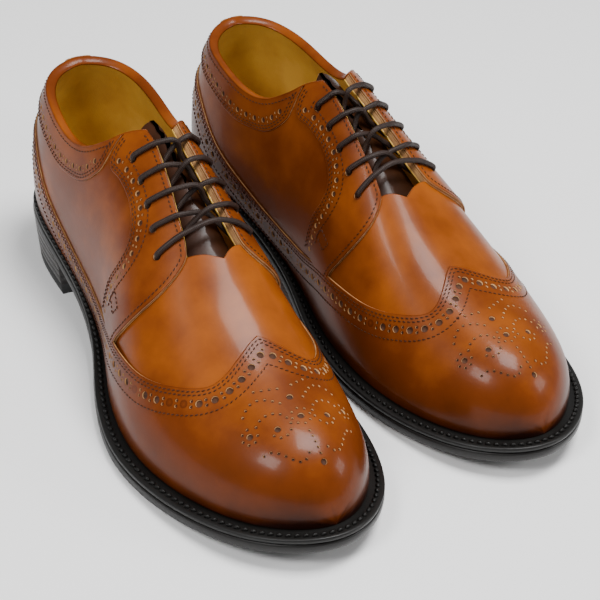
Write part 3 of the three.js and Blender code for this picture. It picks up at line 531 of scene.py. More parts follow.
# ------------------------------------------------------------------ the shape over the last
# Heights on the last run from 0 at the feather line to 1 on the ridge of the instep, and on
# down the inner side to 2, so that a cut piece may cross the ridge.
RIDGE_X = [0, 0, -1, -2, -4, -5, -5, -5, -4.5, -4.5, -5.5, -6]
RIDGE_Y = [35, 35, 35, 68, 102, 136, 168, 199, 230, 258.5, 283, 300]
RIDGE_HEIGHT = [85, 85, 88, 94, 103, 98, 83, 64, 49, 41, 31, 0]
LOW_BULGE = [1.12, 1.12, 1.12, 1.11, 1.11, 1.12, 1.09, 1.06, 1.04, 1.03, 1.02, 1.02]
LOW_RISE = [0.35, 0.35, 0.36, 0.4, 0.45, 0.48, 0.5, 0.5, 0.52, 0.56, 0.6, 0.6]
TOP_BREADTH = [0.95, 0.95, 0.93, 0.88, 0.75, 0.65, 0.62, 0.62, 0.62, 0.6, 0.58, 0.58]
TOP_RISE = [1, 1, 1, 0.98, 0.95, 0.95, 0.97, 1, 1, 1, 1, 1]
RIDGE = np.array(list(zip(RIDGE_X, RIDGE_Y)), float)
RIDGE = np.vstack([RIDGE, RIDGE[-2:0:-1]])


def along_side(values, station, sign=1):
    """A B-spline through values from heel to toe, the same on both sides, odd past the toe for
    sign -1."""
    padded = np.array([values[1], *values, sign * values[TOE - 1]], float)
    at = fold(station)
    first = np.minimum(np.floor(at).astype(int), TOE - 1)
    return sum(w * padded[first + k] for k, w in enumerate(spline_weights(at - first)))


def on_last(place):
    """Point of the last. A cubic curve rises from the feather line to the ridge: its spread across
    falls from 1 to 0 with a bulge low down, and its rise grows from 0 to the ridge's height."""
    station, height = place[..., 0], place[..., 1]
    over = height > 1
    station = np.where(over, STATIONS - station, station)
    height = np.where(over, 2 - height, height)
    edge, centre = on_loop(FEATHER, station), on_loop(RIDGE, station)
    low = 1 - height
    near, far = 3 * height * low**2, 3 * height**2 * low
    spread = low**3 + near * along_side(LOW_BULGE, station) + far * along_side(TOP_BREADTH, station)
    rise = near * along_side(LOW_RISE, station) + far * along_side(TOP_RISE, station) + height**3
    tall = along_side(RIDGE_HEIGHT, station, -1)
    plan = centre + (edge - centre) * spread[..., None]
    across = edge[..., 1] + (centre[..., 1] - edge[..., 1]) * height
    return np.concatenate([plan, (8.9 + rocker(across) + tall * rise)[..., None]], -1)


def slopes(place):
    """How the point of the last moves for a small step along each of its two measures."""
    step = 1e-3
    along = (on_last(place + (step, 0)) - on_last(place - (step, 0))) / (2 * step)
    lower, upper = place - (0, step), place + (0, step)
    lower = np.where(lower[..., 1:] < 0, np.stack([place[..., 0], 0 * place[..., 0]], -1), lower)
    up = (on_last(upper) - on_last(lower)) / (upper - lower)[..., 1:]
    return along, up


def outward(place):
    """Unit normal of the last: the cross product of its two slopes, evened out at the toe tip."""
    def plain(spot):
        along, up = slopes(spot)
        square = np.cross(along, up)
        return square / np.maximum(np.linalg.norm(square, axis=-1, keepdims=True), 1e-9)
    station = np.where(place[..., 0] > TOE, np.maximum(place[..., 0], TOE + 0.04),
                       np.minimum(place[..., 0], TOE - 0.04))
    near_tip = np.stack([station, np.clip(place[..., 1], 0.0, 2.0)], -1)
    other = near_tip * (1, -1) + (0, 2)
    share = 0.5 * smooth((fold(place[..., 0]) - 10.75) / 0.25)[..., None]
    normal = plain(near_tip) * (1 - share) + plain(other) * share
    return normal / np.linalg.norm(normal, axis=-1, keepdims=True)


def layer(place, depth):
    """Point over the last at a depth along its normal: 0 is the outside of a single upper."""
    return on_last(place) + outward(place) * np.asarray(depth)[..., None]


def shift(place, move):
    """Moves places by a step in space: least squares onto the two slopes."""
    along, up = slopes(place)
    aa, bb, ab = (along**2).sum(-1), (up**2).sum(-1), (along * up).sum(-1)
    ma, mb = (move * along).sum(-1), (move * up).sum(-1)
    det = np.maximum(aa * bb - ab**2, 1e-9)
    return place + np.stack([(ma * bb - mb * ab) / det, (mb * aa - ma * ab) / det], -1)


def beside(line, distance, closed=False):
    """A line to the left of another at a distance over the leather, in steps of 2 mm at most."""
    steps = max(1, math.ceil(abs(distance) / 2))
    for _ in range(steps):
        points = on_last(line)
        if closed:
            tangent = np.roll(points, -1, 0) - np.roll(points, 1, 0)
        else:
            tangent = np.gradient(points, axis=0)
        tangent /= np.maximum(np.linalg.norm(tangent, axis=1, keepdims=True), 1e-9)
        line = shift(line, np.cross(outward(line), tangent) * distance / steps)
    return line


def curve(*corners, pitch=1.6):
    """A smooth line through places on the last (Catmull-Rom), stepped about one pitch apart."""
    points = np.array(corners, float)
    padded = np.vstack([2 * points[0] - points[1], points, 2 * points[-1] - points[-2]])
    t = np.linspace(0, 1, 24, endpoint=False)[:, None]
    parts = []
    for a, b, c, d in zip(padded, padded[1:], padded[2:], padded[3:]):
        parts.append(0.5 * (2 * b + (c - a) * t + (2 * a - 5 * b + 4 * c - d) * t**2
                            + (3 * b - a - 3 * c + d) * t**3))
    dense = np.vstack([*parts, points[-1:]])
    run = np.concatenate([[0], np.cumsum(np.linalg.norm(np.diff(on_last(dense), axis=0), axis=1))])
    count = max(2, math.ceil(run[-1] / pitch)) + 1
    at = np.linspace(0, run[-1], count)
    return np.stack([np.interp(at, run, dense[:, n]) for n in (0, 1)], -1)


def inner(line):
    """The same line on the inner side of the shoe."""
    return np.stack([STATIONS - line[:, 0], line[:, 1]], -1)


def over_ridge(line):
    """The same line on the inner side, for a piece that crosses the ridge."""
    return np.stack([line[:, 0], 2 - line[:, 1]], -1)


def ring_of(*lines):
    """One closed outline from lines end to end, without repeated corners."""
    outline = np.vstack(lines)
    gap = np.linalg.norm(outline - np.roll(outline, 1, 0), axis=1)
    return outline[gap > 1e-7]


def inside(outline, places):
    """Which places lie in an outline: a ray from each crosses its edges an odd number of times."""
    a, b = outline, np.roll(outline, -1, 0)
    x, y = places[:, :1], places[:, 1:]
    crosses = (a[:, 1] > y) != (b[:, 1] > y)
    slope = (b[:, 0] - a[:, 0]) / np.where(b[:, 1] == a[:, 1], 1e-12, b[:, 1] - a[:, 1])
    return (crosses & (x < a[:, 0] + (y - a[:, 1]) * slope)).sum(1) % 2 == 1


def apart(places, others, least):
    """Which places are at least that far, in mm over the last, from all the others."""
    keep = np.ones(len(places), bool)
    if not len(others):
        return keep
    here, there = on_last(places), on_last(others)
    for start in range(0, len(here), 2000):
        block = here[start:start + 2000, None] - there[None]
        keep[start:start + 2000] = (block**2).sum(-1).min(1) > least**2
    return keep


UNROLL = np.array([30.0, 95.0])  # about 1 mm for each unit, when a piece is laid flat
LIP = 0.4  # how far round a punched hole its rim is dished
ROLL = 0.55  # how far in from a cut edge the skin rolls down
ON_EDGE, ON_SKIN = -1, -2  # kinds of place; a place on a hole's rim has the hole's number


def hole_rings(holes):
    """The rim of each hole as a ring of places, and a second ring outside it where the skin is
    level again."""
    centres = holes[:, :2]
    along, _ = slopes(centres)
    first = along / np.linalg.norm(along, axis=1, keepdims=True)
    second = np.cross(outward(centres), first)
    rims, lips = [], []
    for centre, radius, one, two in zip(centres, holes[:, 2], first, second):
        corners = 12 if radius > 1 else 8
        angle = np.arange(corners)[:, None] / corners * 2 * np.pi
        move = one * np.cos(angle) + two * np.sin(angle)
        ring = np.tile(centre, (corners, 1))
        rims.append(shift(ring, move * radius))
        lips.append(shift(ring, move * (radius + LIP)))
    return rims, lips


def even_net(outline, mesh):
    """Places inside an outline, one mesh width apart in rows over the last, every other row set
    off by half."""
    low, high = outline.min(0), outline.max(0)
    rows = []
    for number, station in enumerate(np.arange(low[0] + 0.05, high[0], mesh / UNROLL[0])):
        rise = np.linspace(low[1], high[1], 60)
        path = on_last(np.stack([np.full(60, station), rise], -1))
        run = np.concatenate([[0], np.cumsum(np.linalg.norm(np.diff(path, axis=0), axis=1))])
        at = np.arange(mesh * (0.5 + 0.5 * (number % 2)), run[-1], mesh)
        rows.append(np.stack([np.full(len(at), station), np.interp(at, run, rise)], -1))
    net = np.vstack(rows)
    return net[inside(outline, net)]


def flat_pattern(outline, holes, mesh):
    """A piece laid flat: its outline, holes and the net between them, joined by triangles whose
    sides keep to the outline and the rims (constrained Delaunay). Gives the places, their kinds
    and the triangles."""
    rims, lips = hole_rings(holes) if len(holes) else ([], [])
    loops = [outline, *rims]
    fixed = np.vstack(loops)
    starts = np.cumsum([0, *map(len, loops)])
    edges = np.vstack([np.stack([np.arange(len(loop)), np.roll(np.arange(len(loop)), -1)], -1)
                       + start for loop, start in zip(loops, starts)])
    lip = np.vstack(lips) if lips else np.zeros((0, 2))
    lip = lip[inside(outline, lip) & apart(lip, fixed, 0.3)]
    net = even_net(outline, mesh)
    net = net[apart(net, fixed, 0.42 * mesh)]
    roll = beside(outline, ROLL, closed=True)
    roll = roll[inside(outline, roll)]
    roll = roll[apart(roll, fixed, 0.8 * ROLL + 0.01)]
    roll = roll[apart(roll, lip, 0.3)]
    net = net[apart(net, np.vstack([roll, lip]), 0.4 * mesh)]
    places = np.vstack([fixed, roll, lip, net])
    group = np.concatenate([np.full(len(loop), number + ON_EDGE)
                            for number, loop in enumerate(loops)]
                           + [np.full(len(places) - len(fixed), ON_SKIN)])
    flat, _, faces, origin, _, _ = geometry.delaunay_2d_cdt(
        [Vector(place) for place in (places * UNROLL).tolist()], edges.tolist(), [], 0, 1e-6)
    places = np.array([tuple(place) for place in flat]) / UNROLL
    kind = np.array([group[numbers[0]] if numbers else ON_SKIN for numbers in origin])
    triangles = np.array([face for face in faces if len(face) == 3])
    return places, kind, triangles[inside(outline, places[triangles].mean(1))]


def cut_leather(outline, depth, thickness, holes=None, rim=0.4, mesh=3.0, pit=0.8):
    """A cut piece of leather as one closed body: its flat pattern laid over the last. The outer
    face rolls down at its cut edge, walls close the edge, and each hole is a pit whose floor is
    coloured dark brown, darker than the calf, as painted shade. Gives points, faces, kinds of
    face, smooth normals, and the places and their kinds."""
    outline = outline if signed_area(outline) > 0 else outline[::-1]
    places, kind, triangles = flat_pattern(
        outline, np.zeros((0, 3)) if holes is None else holes, mesh)
    own = kind[triangles]
    punched = (own[:, 0] >= 0) & (own[:, 0] == own[:, 1]) & (own[:, 0] == own[:, 2])
    tip = np.abs(places[:, 0] - TOE) < 1e-6
    at = depth(places) if callable(depth) else np.full(len(places), float(depth))
    low_edge = np.minimum(places[:, 1], 2 - places[:, 1]) < 0.03
    tucked = low_edge | (fold(places[:, 0]) > TOE - 0.4)
    drop = np.where(kind == ON_EDGE, rim, np.where(kind >= 0, 0.12, 0.0)) * ~tucked
    points = np.vstack([layer(places, at - drop), layer(places, at - thickness),
                        layer(places, at - pit)])
    count = len(places)
    outer, pits = triangles[~punched], triangles[punched]
    open_edges = loose_edges(outer)
    of_hole = (kind[open_edges] >= 0).all(1)
    wall = open_edges[~of_hole & ~tip[open_edges].all(1)]
    mouth = open_edges[of_hole][:, ::-1]
    walls = np.hstack([wall, wall[:, ::-1] + count])[:, [0, 3, 2, 1]]
    shafts = np.hstack([mouth, mouth[:, ::-1] + 2 * count])
    # Material 2, the pit floor, is dark brown, darker than the calf, as painted shade inside each
    # hole.
    faces = [outer, pits + 2 * count, triangles[:, ::-1] + count, walls, shafts]
    kinds = [np.zeros(len(outer)), np.full(len(pits), 2), np.ones(len(triangles)),
             np.ones(len(walls)), np.ones(len(shafts))]
    normals = np.full((len(points), 3), np.nan)
    given = (kind != ON_EDGE) | tucked
    normals[:count][given] = outward(places)[given]
    joined = np.arange(len(points))
    ends = np.flatnonzero(tip)
    for number in ends[places[ends, 1] > 1 + 1e-6]:
        twin = ends[np.argmin(np.abs(places[ends, 1] - (2 - places[number, 1])))]
        joined[number], joined[number + count] = twin, twin + count
    faces = [joined[part] for part in faces]
    whole = [np.array([len(set(row)) == len(row) for row in part.tolist()], bool)
             for part in faces]
    faces = [part[ok] for part, ok in zip(faces, whole)]
    kinds = [part[ok] for part, ok in zip(kinds, whole)]
    used = np.unique(np.concatenate([part.ravel() for part in faces]))
    renumber = np.zeros(len(points), int)
    renumber[used] = np.arange(len(used))
    return {"points": points[used], "faces": [renumber[part] for part in faces], "kinds": kinds,
            "normals": normals[used], "places": np.tile(places, (3, 1))[used],
            "edge": np.tile(kind, 3)[used]}


def signed_area(outline):
    """Half the sum of the cross products of an outline's neighbouring corners."""
    after = np.roll(outline, -1, 0)
    return 0.5 * (outline[:, 0] * after[:, 1] - outline[:, 1] * after[:, 0]).sum()


def loose_edges(triangles):
    """The directed edges that belong to one triangle only."""
    edges = np.vstack([triangles[:, [0, 1]], triangles[:, [1, 2]], triangles[:, [2, 0]]])
    size = triangles.max() + 1
    code, back = edges[:, 0] * size + edges[:, 1], edges[:, 1] * size + edges[:, 0]
    return edges[~np.isin(code, back)]


# ------------------------------------------------------------------ calf for the uppers
# Smooth full-grain calf, dyed tan, creamed and polished. The maker burnishes the toe, the heel
# and the lower edge darker, and the cut edges show the paler core of the hide.


def calf_material(name, pale, tan, dark, patch_size=34):
    """Polished calf: a tone from pale to dark that follows the burnishing and drifts in patches,
    a fine grain, and a gloss that is broken by faint scuffs."""
    material, nodes, links, surface = fresh_material(name, 0.34, Coat_Weight=0.11,
                                                     Coat_Roughness=0.12)
    surface.inputs["Specular IOR Level"].default_value = 0.12
    wear = surface_wear(nodes, links, patch_size, 1150)
    tone = node(nodes, "Attribute", {"attribute_name": "shade"})
    drift = node(nodes, "MapRange", From_Min=0.3, From_Max=0.7, To_Min=-0.13, To_Max=0.17)
    links.new(wear.outputs["Patches"], drift.inputs["Value"])
    total = node(nodes, "Math", {"operation": "ADD"})
    links.new(tone.outputs["Fac"], total.inputs[0])
    links.new(drift.outputs["Result"], total.inputs[1])
    scuff = node(nodes, "MapRange", From_Min=0.62, From_Max=0.8, To_Min=0.0, To_Max=-0.12)
    links.new(wear.outputs["Scuffs"], scuff.inputs["Value"])
    rubbed = node(nodes, "Math", {"operation": "ADD"})
    links.new(total.outputs[0], rubbed.inputs[0])
    links.new(scuff.outputs["Result"], rubbed.inputs[1])
    colours = ramp(nodes, [(0.0, pale), (0.3, tan), (0.95, dark)])
    links.new(rubbed.outputs[0], colours.inputs["Fac"])
    links.new(colours.outputs["Color"], surface.inputs["Base Color"])
    gloss = node(nodes, "MapRange", To_Min=0.26, To_Max=0.44)
    links.new(wear.outputs["Scuffs"], gloss.inputs["Value"])
    links.new(gloss.outputs["Result"], surface.inputs["Roughness"])
    height = node(nodes, "Math", {"operation": "MULTIPLY_ADD"})
    height.inputs[1].default_value = 0.35
    links.new(wear.outputs["Scuffs"], height.inputs[0])
    links.new(wear.outputs["Grain"], height.inputs[2])
    bump(nodes, links, surface, height.outputs[0], 0.16, 0.00012)
    return material


def plain_leather(name, pale, dark, roughness, patch_size=180):
    """Raw fibre, as on a cut edge or a punched hole's wall: matt, with short irregular patches."""
    material, nodes, links, surface = fresh_material(name, roughness)
    wear = surface_wear(nodes, links, patch_size, 2600)
    colours = ramp(nodes, [(0.3, dark), (0.7, pale)])
    links.new(wear.outputs["Patches"], colours.inputs["Fac"])
    links.new(colours.outputs["Color"], surface.inputs["Base Color"])
    bump(nodes, links, surface, wear.outputs["Grain"], 0.5, 0.0002)
    return material


calf = calf_material("polished tan calf", (0.275, 0.066, 0.0046), (0.132, 0.0255, 0.0014),
                     (0.014, 0.0025, 0.0007))
raw_edge = plain_leather("cut leather edge", (0.50, 0.27, 0.10), (0.26, 0.11, 0.035), 0.8)
# The floor of each punched hole stands for the leather beneath, coloured dark brown, far darker
# than the tan calf, as painted shade inside the hole.
shaded_pit_floor = plain_leather("punched hole", (0.075, 0.024, 0.007), (0.030, 0.010, 0.004), 0.9)
upper_thread = thread_material("waxed upper thread", (0.060, 0.018, 0.005),
                               (0.020, 0.006, 0.002), 0.5)


def burnish(places, edge, deeper=0.0):
    """Darkness of the calf: it falls off above the welt, and grows to the toe tip and the heel."""
    station = fold(places[:, 0])
    height = np.where(places[:, 1] > 1, 2 - places[:, 1], places[:, 1])
    low = np.exp(-height / 0.16)
    toe = smooth((station - 8.6) / 2.4) * (1 - 0.65 * smooth(height / 0.9))
    heel = (1 - smooth(station / 2.2)) * (1 - 0.5 * smooth(height / 0.7))
    rims = np.where(edge == -1, 0.22, np.where(edge >= 0, 0.3, 0.0))
    return np.clip(0.2 + 0.5 * low + 0.5 * toe + 0.36 * heel + rims + deeper, 0, 1)


def upper_piece(name, cut, cad_nodes=(), body="shoe", finish="calf", deeper=0.0, skin=None):
    """Makes a cut piece for both feet, with its shade baked in from the burnishing."""
    pair_of(name, cut["points"], cut["faces"], [skin or calf, raw_edge, shaded_pit_floor],
            finish, body, cad_nodes, cut["kinds"],
            burnish(cut["places"], cut["edge"], deeper), None, cut["normals"])


def at_steps(line, where):
    """The places at fractional steps along a line of places."""
    low = np.minimum(where.astype(int), len(line) - 2)
    return line[low] + (line[low + 1] - line[low]) * (where - low)[:, None]


def seam(line, depth, pitch=2.5, length=2.05, width=0.62, proud=0.16):
    """A row of stitches along a line, at a depth over the last."""
    at = depth(line) if callable(depth) else np.full(len(line), float(depth))
    spots, where, tangents = even(layer(line, at), pitch)
    return stitches(spots, tangents, outward(at_steps(line, where)), length, width, proud)


def gathered(parts):
    """Several meshes of the same make as one: points, faces and UVs, end to end."""
    points, faces, uv, start = [], [], [], 0
    for part_points, part_faces, part_uv in parts:
        points.append(part_points)
        uv.append(part_uv)
        faces += [part + start for part in part_faces]
        start += len(part_points)
    return np.vstack(points), faces, np.vstack(uv)


def sewn(name, parts, thread=upper_thread, body="shoe", finish="calf"):
    """Rows of stitches as one piece for each foot."""
    points, faces, uv = gathered(parts)
    pair_of(name, points, faces, [thread], finish, body, uv=uv)


def within(line, edge, distance):
    """A line inside an edge at a distance, without the loops that sharp corners would make."""
    moved = beside(line, distance)
    return moved[apart(moved, edge, abs(distance) * 0.95)]


def punched_row(line, pitch=7.6, large=1.75, small=0.75, pair=1.3):
    """Brogueing: large holes an even pitch apart, with a pair of small ones halfway between."""
    spots, where, tangents = even(on_last(line), pitch)
    large_holes = np.column_stack([at_steps(line, where), np.full(len(where), large)])
    middle = (where[1:] + where[:-1]) / 2
    centres = at_steps(line, middle)
    across = np.cross(outward(centres), tangents[1:] + tangents[:-1])
    across /= np.linalg.norm(across, axis=1, keepdims=True)
    small_holes = [np.column_stack([shift(centres, across * way), np.full(len(middle), small)])
                   for way in (pair, -pair)]
    return np.vstack([large_holes, *small_holes])


# ------------------------------------------------------------------ linings of the quarters
# One piece of gold lining leather on each side, joined at the heel, from the heel seam to the
# front of the facings. Its top edge comes up to the topline, where it is turned and sewn.
SEAM = 0.008  # where the pieces of the two sides meet at the heel
LASTED = 0.004  # height of the foot of every lasted piece, just above the feather line
LINING_DEPTH = -3.0
LINING = 0.9
topline = curve((0.0, 0.68), (1, 0.65), (2, 0.595), (2.9, 0.545), (3.45, 0.57), (3.85, 0.67),
                (4.1, 0.79), (4.3, 0.885))
throat = curve((4.3, 0.885), (4.5, 0.893), (5, 0.874), (5.5, 0.857), (5.95, 0.845))
facing_front = curve((5.95, 0.845), (6.17, 0.82), (6.3, 0.73), (6.32, 0.62), (6.25, 0.5),
                     (6.12, 0.38), (6, 0.3), (5.92, 0.22))
lining_front = curve((5.95, 0.845), (6.35, 0.8), (6.45, 0.7), (6.35, 0.5), (6.15, 0.3),
                     (6, LASTED))
lining_foot = curve((6, LASTED), (4.5, LASTED), (3, LASTED), (1.5, LASTED), (0, LASTED))
half_lining = np.vstack([topline, throat[1:], lining_front[1:], lining_foot[1:-1]])
lining_outline = np.vstack([half_lining, (0, LASTED), (half_lining * (-1, 1))[1:][::-1]])
quarter_lining = cut_leather(lining_outline, LINING_DEPTH, LINING, rim=0.2, mesh=4.0)
pair_of("quarter_lining_leather", quarter_lining["points"], quarter_lining["faces"],
        [lining_leather], "lining", nodes=["quarter_lining"])

# ------------------------------------------------------------------ vamp linings
# The front half of the lining: one piece from the facings to the toe, under the vamp.
toe_tip = np.stack([np.full(5, float(TOE)), np.linspace(LASTED, 2 - LASTED, 5)], -1)
vamp_lining_side = curve((6.05, LASTED), (6.2, 0.3), (6.4, 0.5), (6.5, 0.7), (6.5, 0.8),
                         (6.38, 0.88), (6.35, 1))
vamp_lining_foot = curve((TOE, LASTED), (9.5, LASTED), (8, LASTED), (6.05, LASTED))
vamp_lining_outline = ring_of(vamp_lining_foot, vamp_lining_side[1:],
                              over_ridge(vamp_lining_side)[::-1][1:],
                              over_ridge(vamp_lining_foot)[::-1][1:], toe_tip[::-1][1:-1])
vamp_lining = cut_leather(vamp_lining_outline, LINING_DEPTH, LINING, rim=0.2, mesh=4.0)
pair_of("vamp_lining_leather", vamp_lining["points"], vamp_lining["faces"],
        [lining_leather], "lining", nodes=["vamp_lining"])

# ------------------------------------------------------------------ toe puffs and heel counters
# Stiff leather shells between the lining and the upper keep the toe and the heel in shape. They
# are soaked in paste, lasted wet and dry hard, and nothing of them shows on a finished shoe.
PUFF_DEPTH = -1.75
PUFF = 0.9
puff_foot = curve((8.9, LASTED), (9.7, LASTED), (10.4, LASTED), (TOE, LASTED))
puff_back = curve((9.1, 1), (9.04, 0.75), (9, 0.5), (8.93, 0.2), (8.9, LASTED))
puff_outline = ring_of(puff_back, puff_foot[1:], toe_tip[1:-1], over_ridge(puff_foot)[::-1],
                       over_ridge(puff_back)[::-1][1:-1])
counter_top = curve((0, 0.55), (1, 0.52), (2, 0.42), (2.9, 0.2), (3.2, LASTED))
counter_foot = curve((3.2, LASTED), (2, LASTED), (1, LASTED), (0, LASTED))
counter_side = np.vstack([counter_top, counter_foot[1:]])
counter_outline = ring_of(counter_side, (counter_side * (-1, 1))[::-1][1:-1])
pasted_leather = plain_leather("pasted stiffener leather", (0.46, 0.33, 0.20), (0.30, 0.20, 0.11),
                               0.85, 90)
for stiffener_name, outline, node_name in (("toe_puff_leather", puff_outline, "toe_puff"),
                                           ("heel_counter_leather", counter_outline,
                                            "heel_counter")):
    cut = cut_leather(outline, PUFF_DEPTH, PUFF, rim=0.3, mesh=4.0)
    pair_of(stiffener_name, cut["points"], cut["faces"], [pasted_leather],
            "stiffener", nodes=[node_name])

# ------------------------------------------------------------------ vamps
# The vamp covers the instep from under the facings to under the wing of the cap. It is pulled
# over the last while damp, so it has no folds until the shoe is walked in.
THROAT_BASE = 6.35
vamp_rear = curve((5.2, 0.07), (5.7, 0.3), (5.95, 0.45), (6.05, 0.62), (6.1, 0.76), (6.2, 0.9),
                  (THROAT_BASE, 1))
vamp_front = curve((8.1, 1), (8.2, 0.9), (8.35, 0.78), (8.35, 0.66), (8.2, 0.52), (7.8, 0.38),
                   (7.2, 0.27), (6.5, 0.18), (5.8, 0.1), (5.2, 0.07))
vamp_outline = ring_of(vamp_rear, over_ridge(vamp_rear[::-1])[1:],
                       over_ridge(vamp_front[::-1])[1:], vamp_front[1:])
VAMP_DEPTH = -0.9
CALF = 1.1  # thickness of the uppers
upper_piece("vamp_calf", cut_leather(vamp_outline, VAMP_DEPTH, CALF), ["vamp"], deeper=-0.1)

# ------------------------------------------------------------------ quarters
# The quarters wrap the heel and the sides, and carry the facings. They meet in a seam at the
# back of the heel.
QUARTER_DEPTH = 0.3
quarter_foot = curve((5.92, 0.22), (5.5, 0.1), (5, 0.06), (4.2, 0.03), (3.3, 0.04), (2.6, 0.1),
                     (1.8, 0.24), (1, 0.31), (SEAM, 0.33))
quarter_back = curve((SEAM, 0.33), (SEAM, 0.5), (SEAM, 0.68))
quarter_top = topline[topline[:, 0] > SEAM]
quarter_outline = ring_of(quarter_back, quarter_top, throat, facing_front, quarter_foot)
for side_name, outline in (("outer", quarter_outline), ("inner", inner(quarter_outline))):
    upper_piece(f"quarter_{side_name}_calf", cut_leather(outline, QUARTER_DEPTH, CALF),
                [f"quarter_{side_name}"])
sewn("heel_seam_stitching", [
    seam(curve((way * 0.13, 0.34), (way * 0.13, 0.46)), QUARTER_DEPTH, 2.4) for way in (1, -1)])

# ------------------------------------------------------------------ wing caps
# A longwing cap runs from the toe right round to the heel. It peaks on the instep, its edge is
# left raw over the vamp and quarters, and it is sewn down on both sides of a punched row. The
# toe carries a medallion of punched holes.
WING_PEAK = 7.5
COVER = 1.4  # depth of a layer that lies over the quarters
WING_SEAMS = (1.7, 3.4, 12.6)  # distance of each seam from the wing's edge
WING_ROW = 7.4  # and of the punched row


def wing_depth(places):
    """Over the quarters at the sides, and down onto the vamp towards the toe."""
    return COVER - 1.15 * smooth((fold(places[:, 0]) - 5.9) / 1.1)


wing_side = curve((SEAM, 0.46), (1, 0.43), (1.8, 0.36), (2.6, 0.2), (3.4, 0.13), (4.2, 0.115),
                  (5, 0.15), (5.7, 0.235), (6.3, 0.305), (6.85, 0.375), (7.25, 0.45), (7.55, 0.53),
                  (7.78, 0.61), (7.9, 0.69), (7.87, 0.78), (7.72, 0.88), (7.58, 0.95),
                  (WING_PEAK, 1))
wing_edge = np.vstack([wing_side, over_ridge(wing_side)[::-1][1:]])
wing_foot = curve(*[(station, LASTED) for station in (SEAM, 2, 4, 6, 8, 9.5, 10.5, TOE)])
wing_back = curve((SEAM, 0.46), (SEAM, 0.2), (SEAM, LASTED))
wing_outline = ring_of(wing_foot, toe_tip[1:-1], over_ridge(wing_foot)[::-1],
                       over_ridge(wing_back)[::-1][1:], wing_edge[::-1][1:], wing_back[1:-1])
wing_holes = punched_row(within(wing_edge, wing_edge, -WING_ROW))


def from_centre(centre, across, ahead, steps=8):
    """Places at a distance across and ahead of a centre, in mm, walked over the last in steps."""
    place = np.tile(centre, (len(across), 1)).astype(float)
    for _ in range(steps):
        normal = outward(place)
        forward = np.array([0.0, 1.0, 0.0]) - normal * normal[:, 1:2]
        forward /= np.linalg.norm(forward, axis=1, keepdims=True)
        right = np.cross(forward, normal)
        place = shift(place, (right * across[:, None] + forward * ahead[:, None]) / steps)
    return place


def dotted(points, pitch):
    """Evenly stepped points along a line through the given corners, in flat mm."""
    line = np.array(points, float)
    run = np.concatenate([[0], np.cumsum(np.linalg.norm(np.diff(line, axis=0), axis=1))])
    at = np.linspace(0, run[-1], max(2, int(round(run[-1] / pitch)) + 1))
    return np.stack([np.interp(at, run, line[:, n]) for n in (0, 1)], -1)


# The medallion: a rosette, two scrolls that curl outwards, two leaves and a stem, all generic.
turn = np.linspace(0, 1, 40)[:, None]
scroll_angle = 0.6 + turn * 5.0
scroll = np.hstack([12.5 + (3.4 + 6.2 * turn) * np.cos(scroll_angle),
                    -1 + (3.4 + 6.2 * turn) * np.sin(scroll_angle)])
leaf = np.hstack([5.5 + 17 * turn, -12.5 - 6 * np.sin(turn * 2.8)])
brow = np.hstack([5 + 19 * turn, 15 - 8 * turn**2 + 3 * np.sin(turn * 6)])
stem = np.array([(0, 5.5), (0, 17)])
small_dots = [dotted(scroll, 3.2), dotted(leaf, 3.4), dotted(brow, 3.4)]
small_dots = np.vstack([*small_dots, *[dots * (-1, 1) for dots in small_dots], dotted(stem, 3.2)])
side_rosette = np.array([(24.5 + 3.6 * math.cos(a), -5 + 3.6 * math.sin(a))
                         for a in np.arange(7) * math.tau / 7])
chevron = dotted([(0, -19), (13, -23)], 3.4)[1:]
small_dots = np.vstack([small_dots, side_rosette, side_rosette * (-1, 1), chevron,
                        chevron * (-1, 1)])
petals = np.array([(4.3 * math.cos(a), -3 + 4.3 * math.sin(a))
                   for a in np.arange(8) * math.pi / 4])
large_dots = np.array([(0, -3), (12.5, -1), (-12.5, -1), (0, -14), (24.5, -5), (-24.5, -5),
                       (0, 21)], float)
MEDALLION_CENTRE = (9.15, 1.0)
medallion = np.vstack([
    np.column_stack([from_centre(MEDALLION_CENTRE, dots[:, 0], dots[:, 1]),
                     np.full(len(dots), radius)])
    for dots, radius in ((small_dots, 0.66), (petals, 0.6), (large_dots, 1.45))])


def spaced(holes, margin=0.55):
    """Holes in their order, without any that would run into one kept before it."""
    kept = []
    points = on_last(holes[:, :2])
    for number in np.argsort(-holes[:, 2], kind="stable"):
        near = np.linalg.norm(points[kept] - points[number], axis=1) if kept else np.array([])
        if not (near < holes[kept, 2] + holes[number, 2] + margin).any():
            kept.append(number)
    return holes[np.sort(kept)]


wing_holes = spaced(np.vstack([wing_holes, medallion]))
wing_cut = cut_leather(wing_outline, wing_depth, CALF, wing_holes)
upper_piece("wing_cap_calf", wing_cut, ["wing_cap"])
sewn("wing_cap_stitching", [seam(within(wing_edge, wing_edge, -inset), wing_depth)
                            for inset in WING_SEAMS])

# ------------------------------------------------------------------ facings
# The facings stiffen the lace holes. Their back edge is raw and sewn down beside a punched row,
# and a small sewn box at the foot takes the strain when the shoe is opened.
EYELETS = 5
EYELET_STATIONS = 4.5 + 0.345 * np.arange(EYELETS)
EYELET_HEIGHTS = np.linspace(0.75, 0.69, EYELETS)
LACE_HOLE = 1.9
NARROW_ROW = {"pitch": 7.2, "large": 1.4, "small": 0.62, "pair": 1.15}
FACING_ROW = 6.2  # distance of the punched row from the facing's back edge
FACING_SEAMS = (1.7, 3.3, 10.5)
lace_holes = np.column_stack([EYELET_STATIONS, EYELET_HEIGHTS, np.full(EYELETS, LACE_HOLE)])
facing_top = topline[topline[:, 0] > 4.08]
facing_back = curve((5.1, 0.19), (5.14, 0.33), (5.27, 0.45), (5.28, 0.54), (5.12, 0.6),
                    (4.85, 0.63), (4.5, 0.632), (4.22, 0.62), (4.1, 0.68), tuple(facing_top[0]))
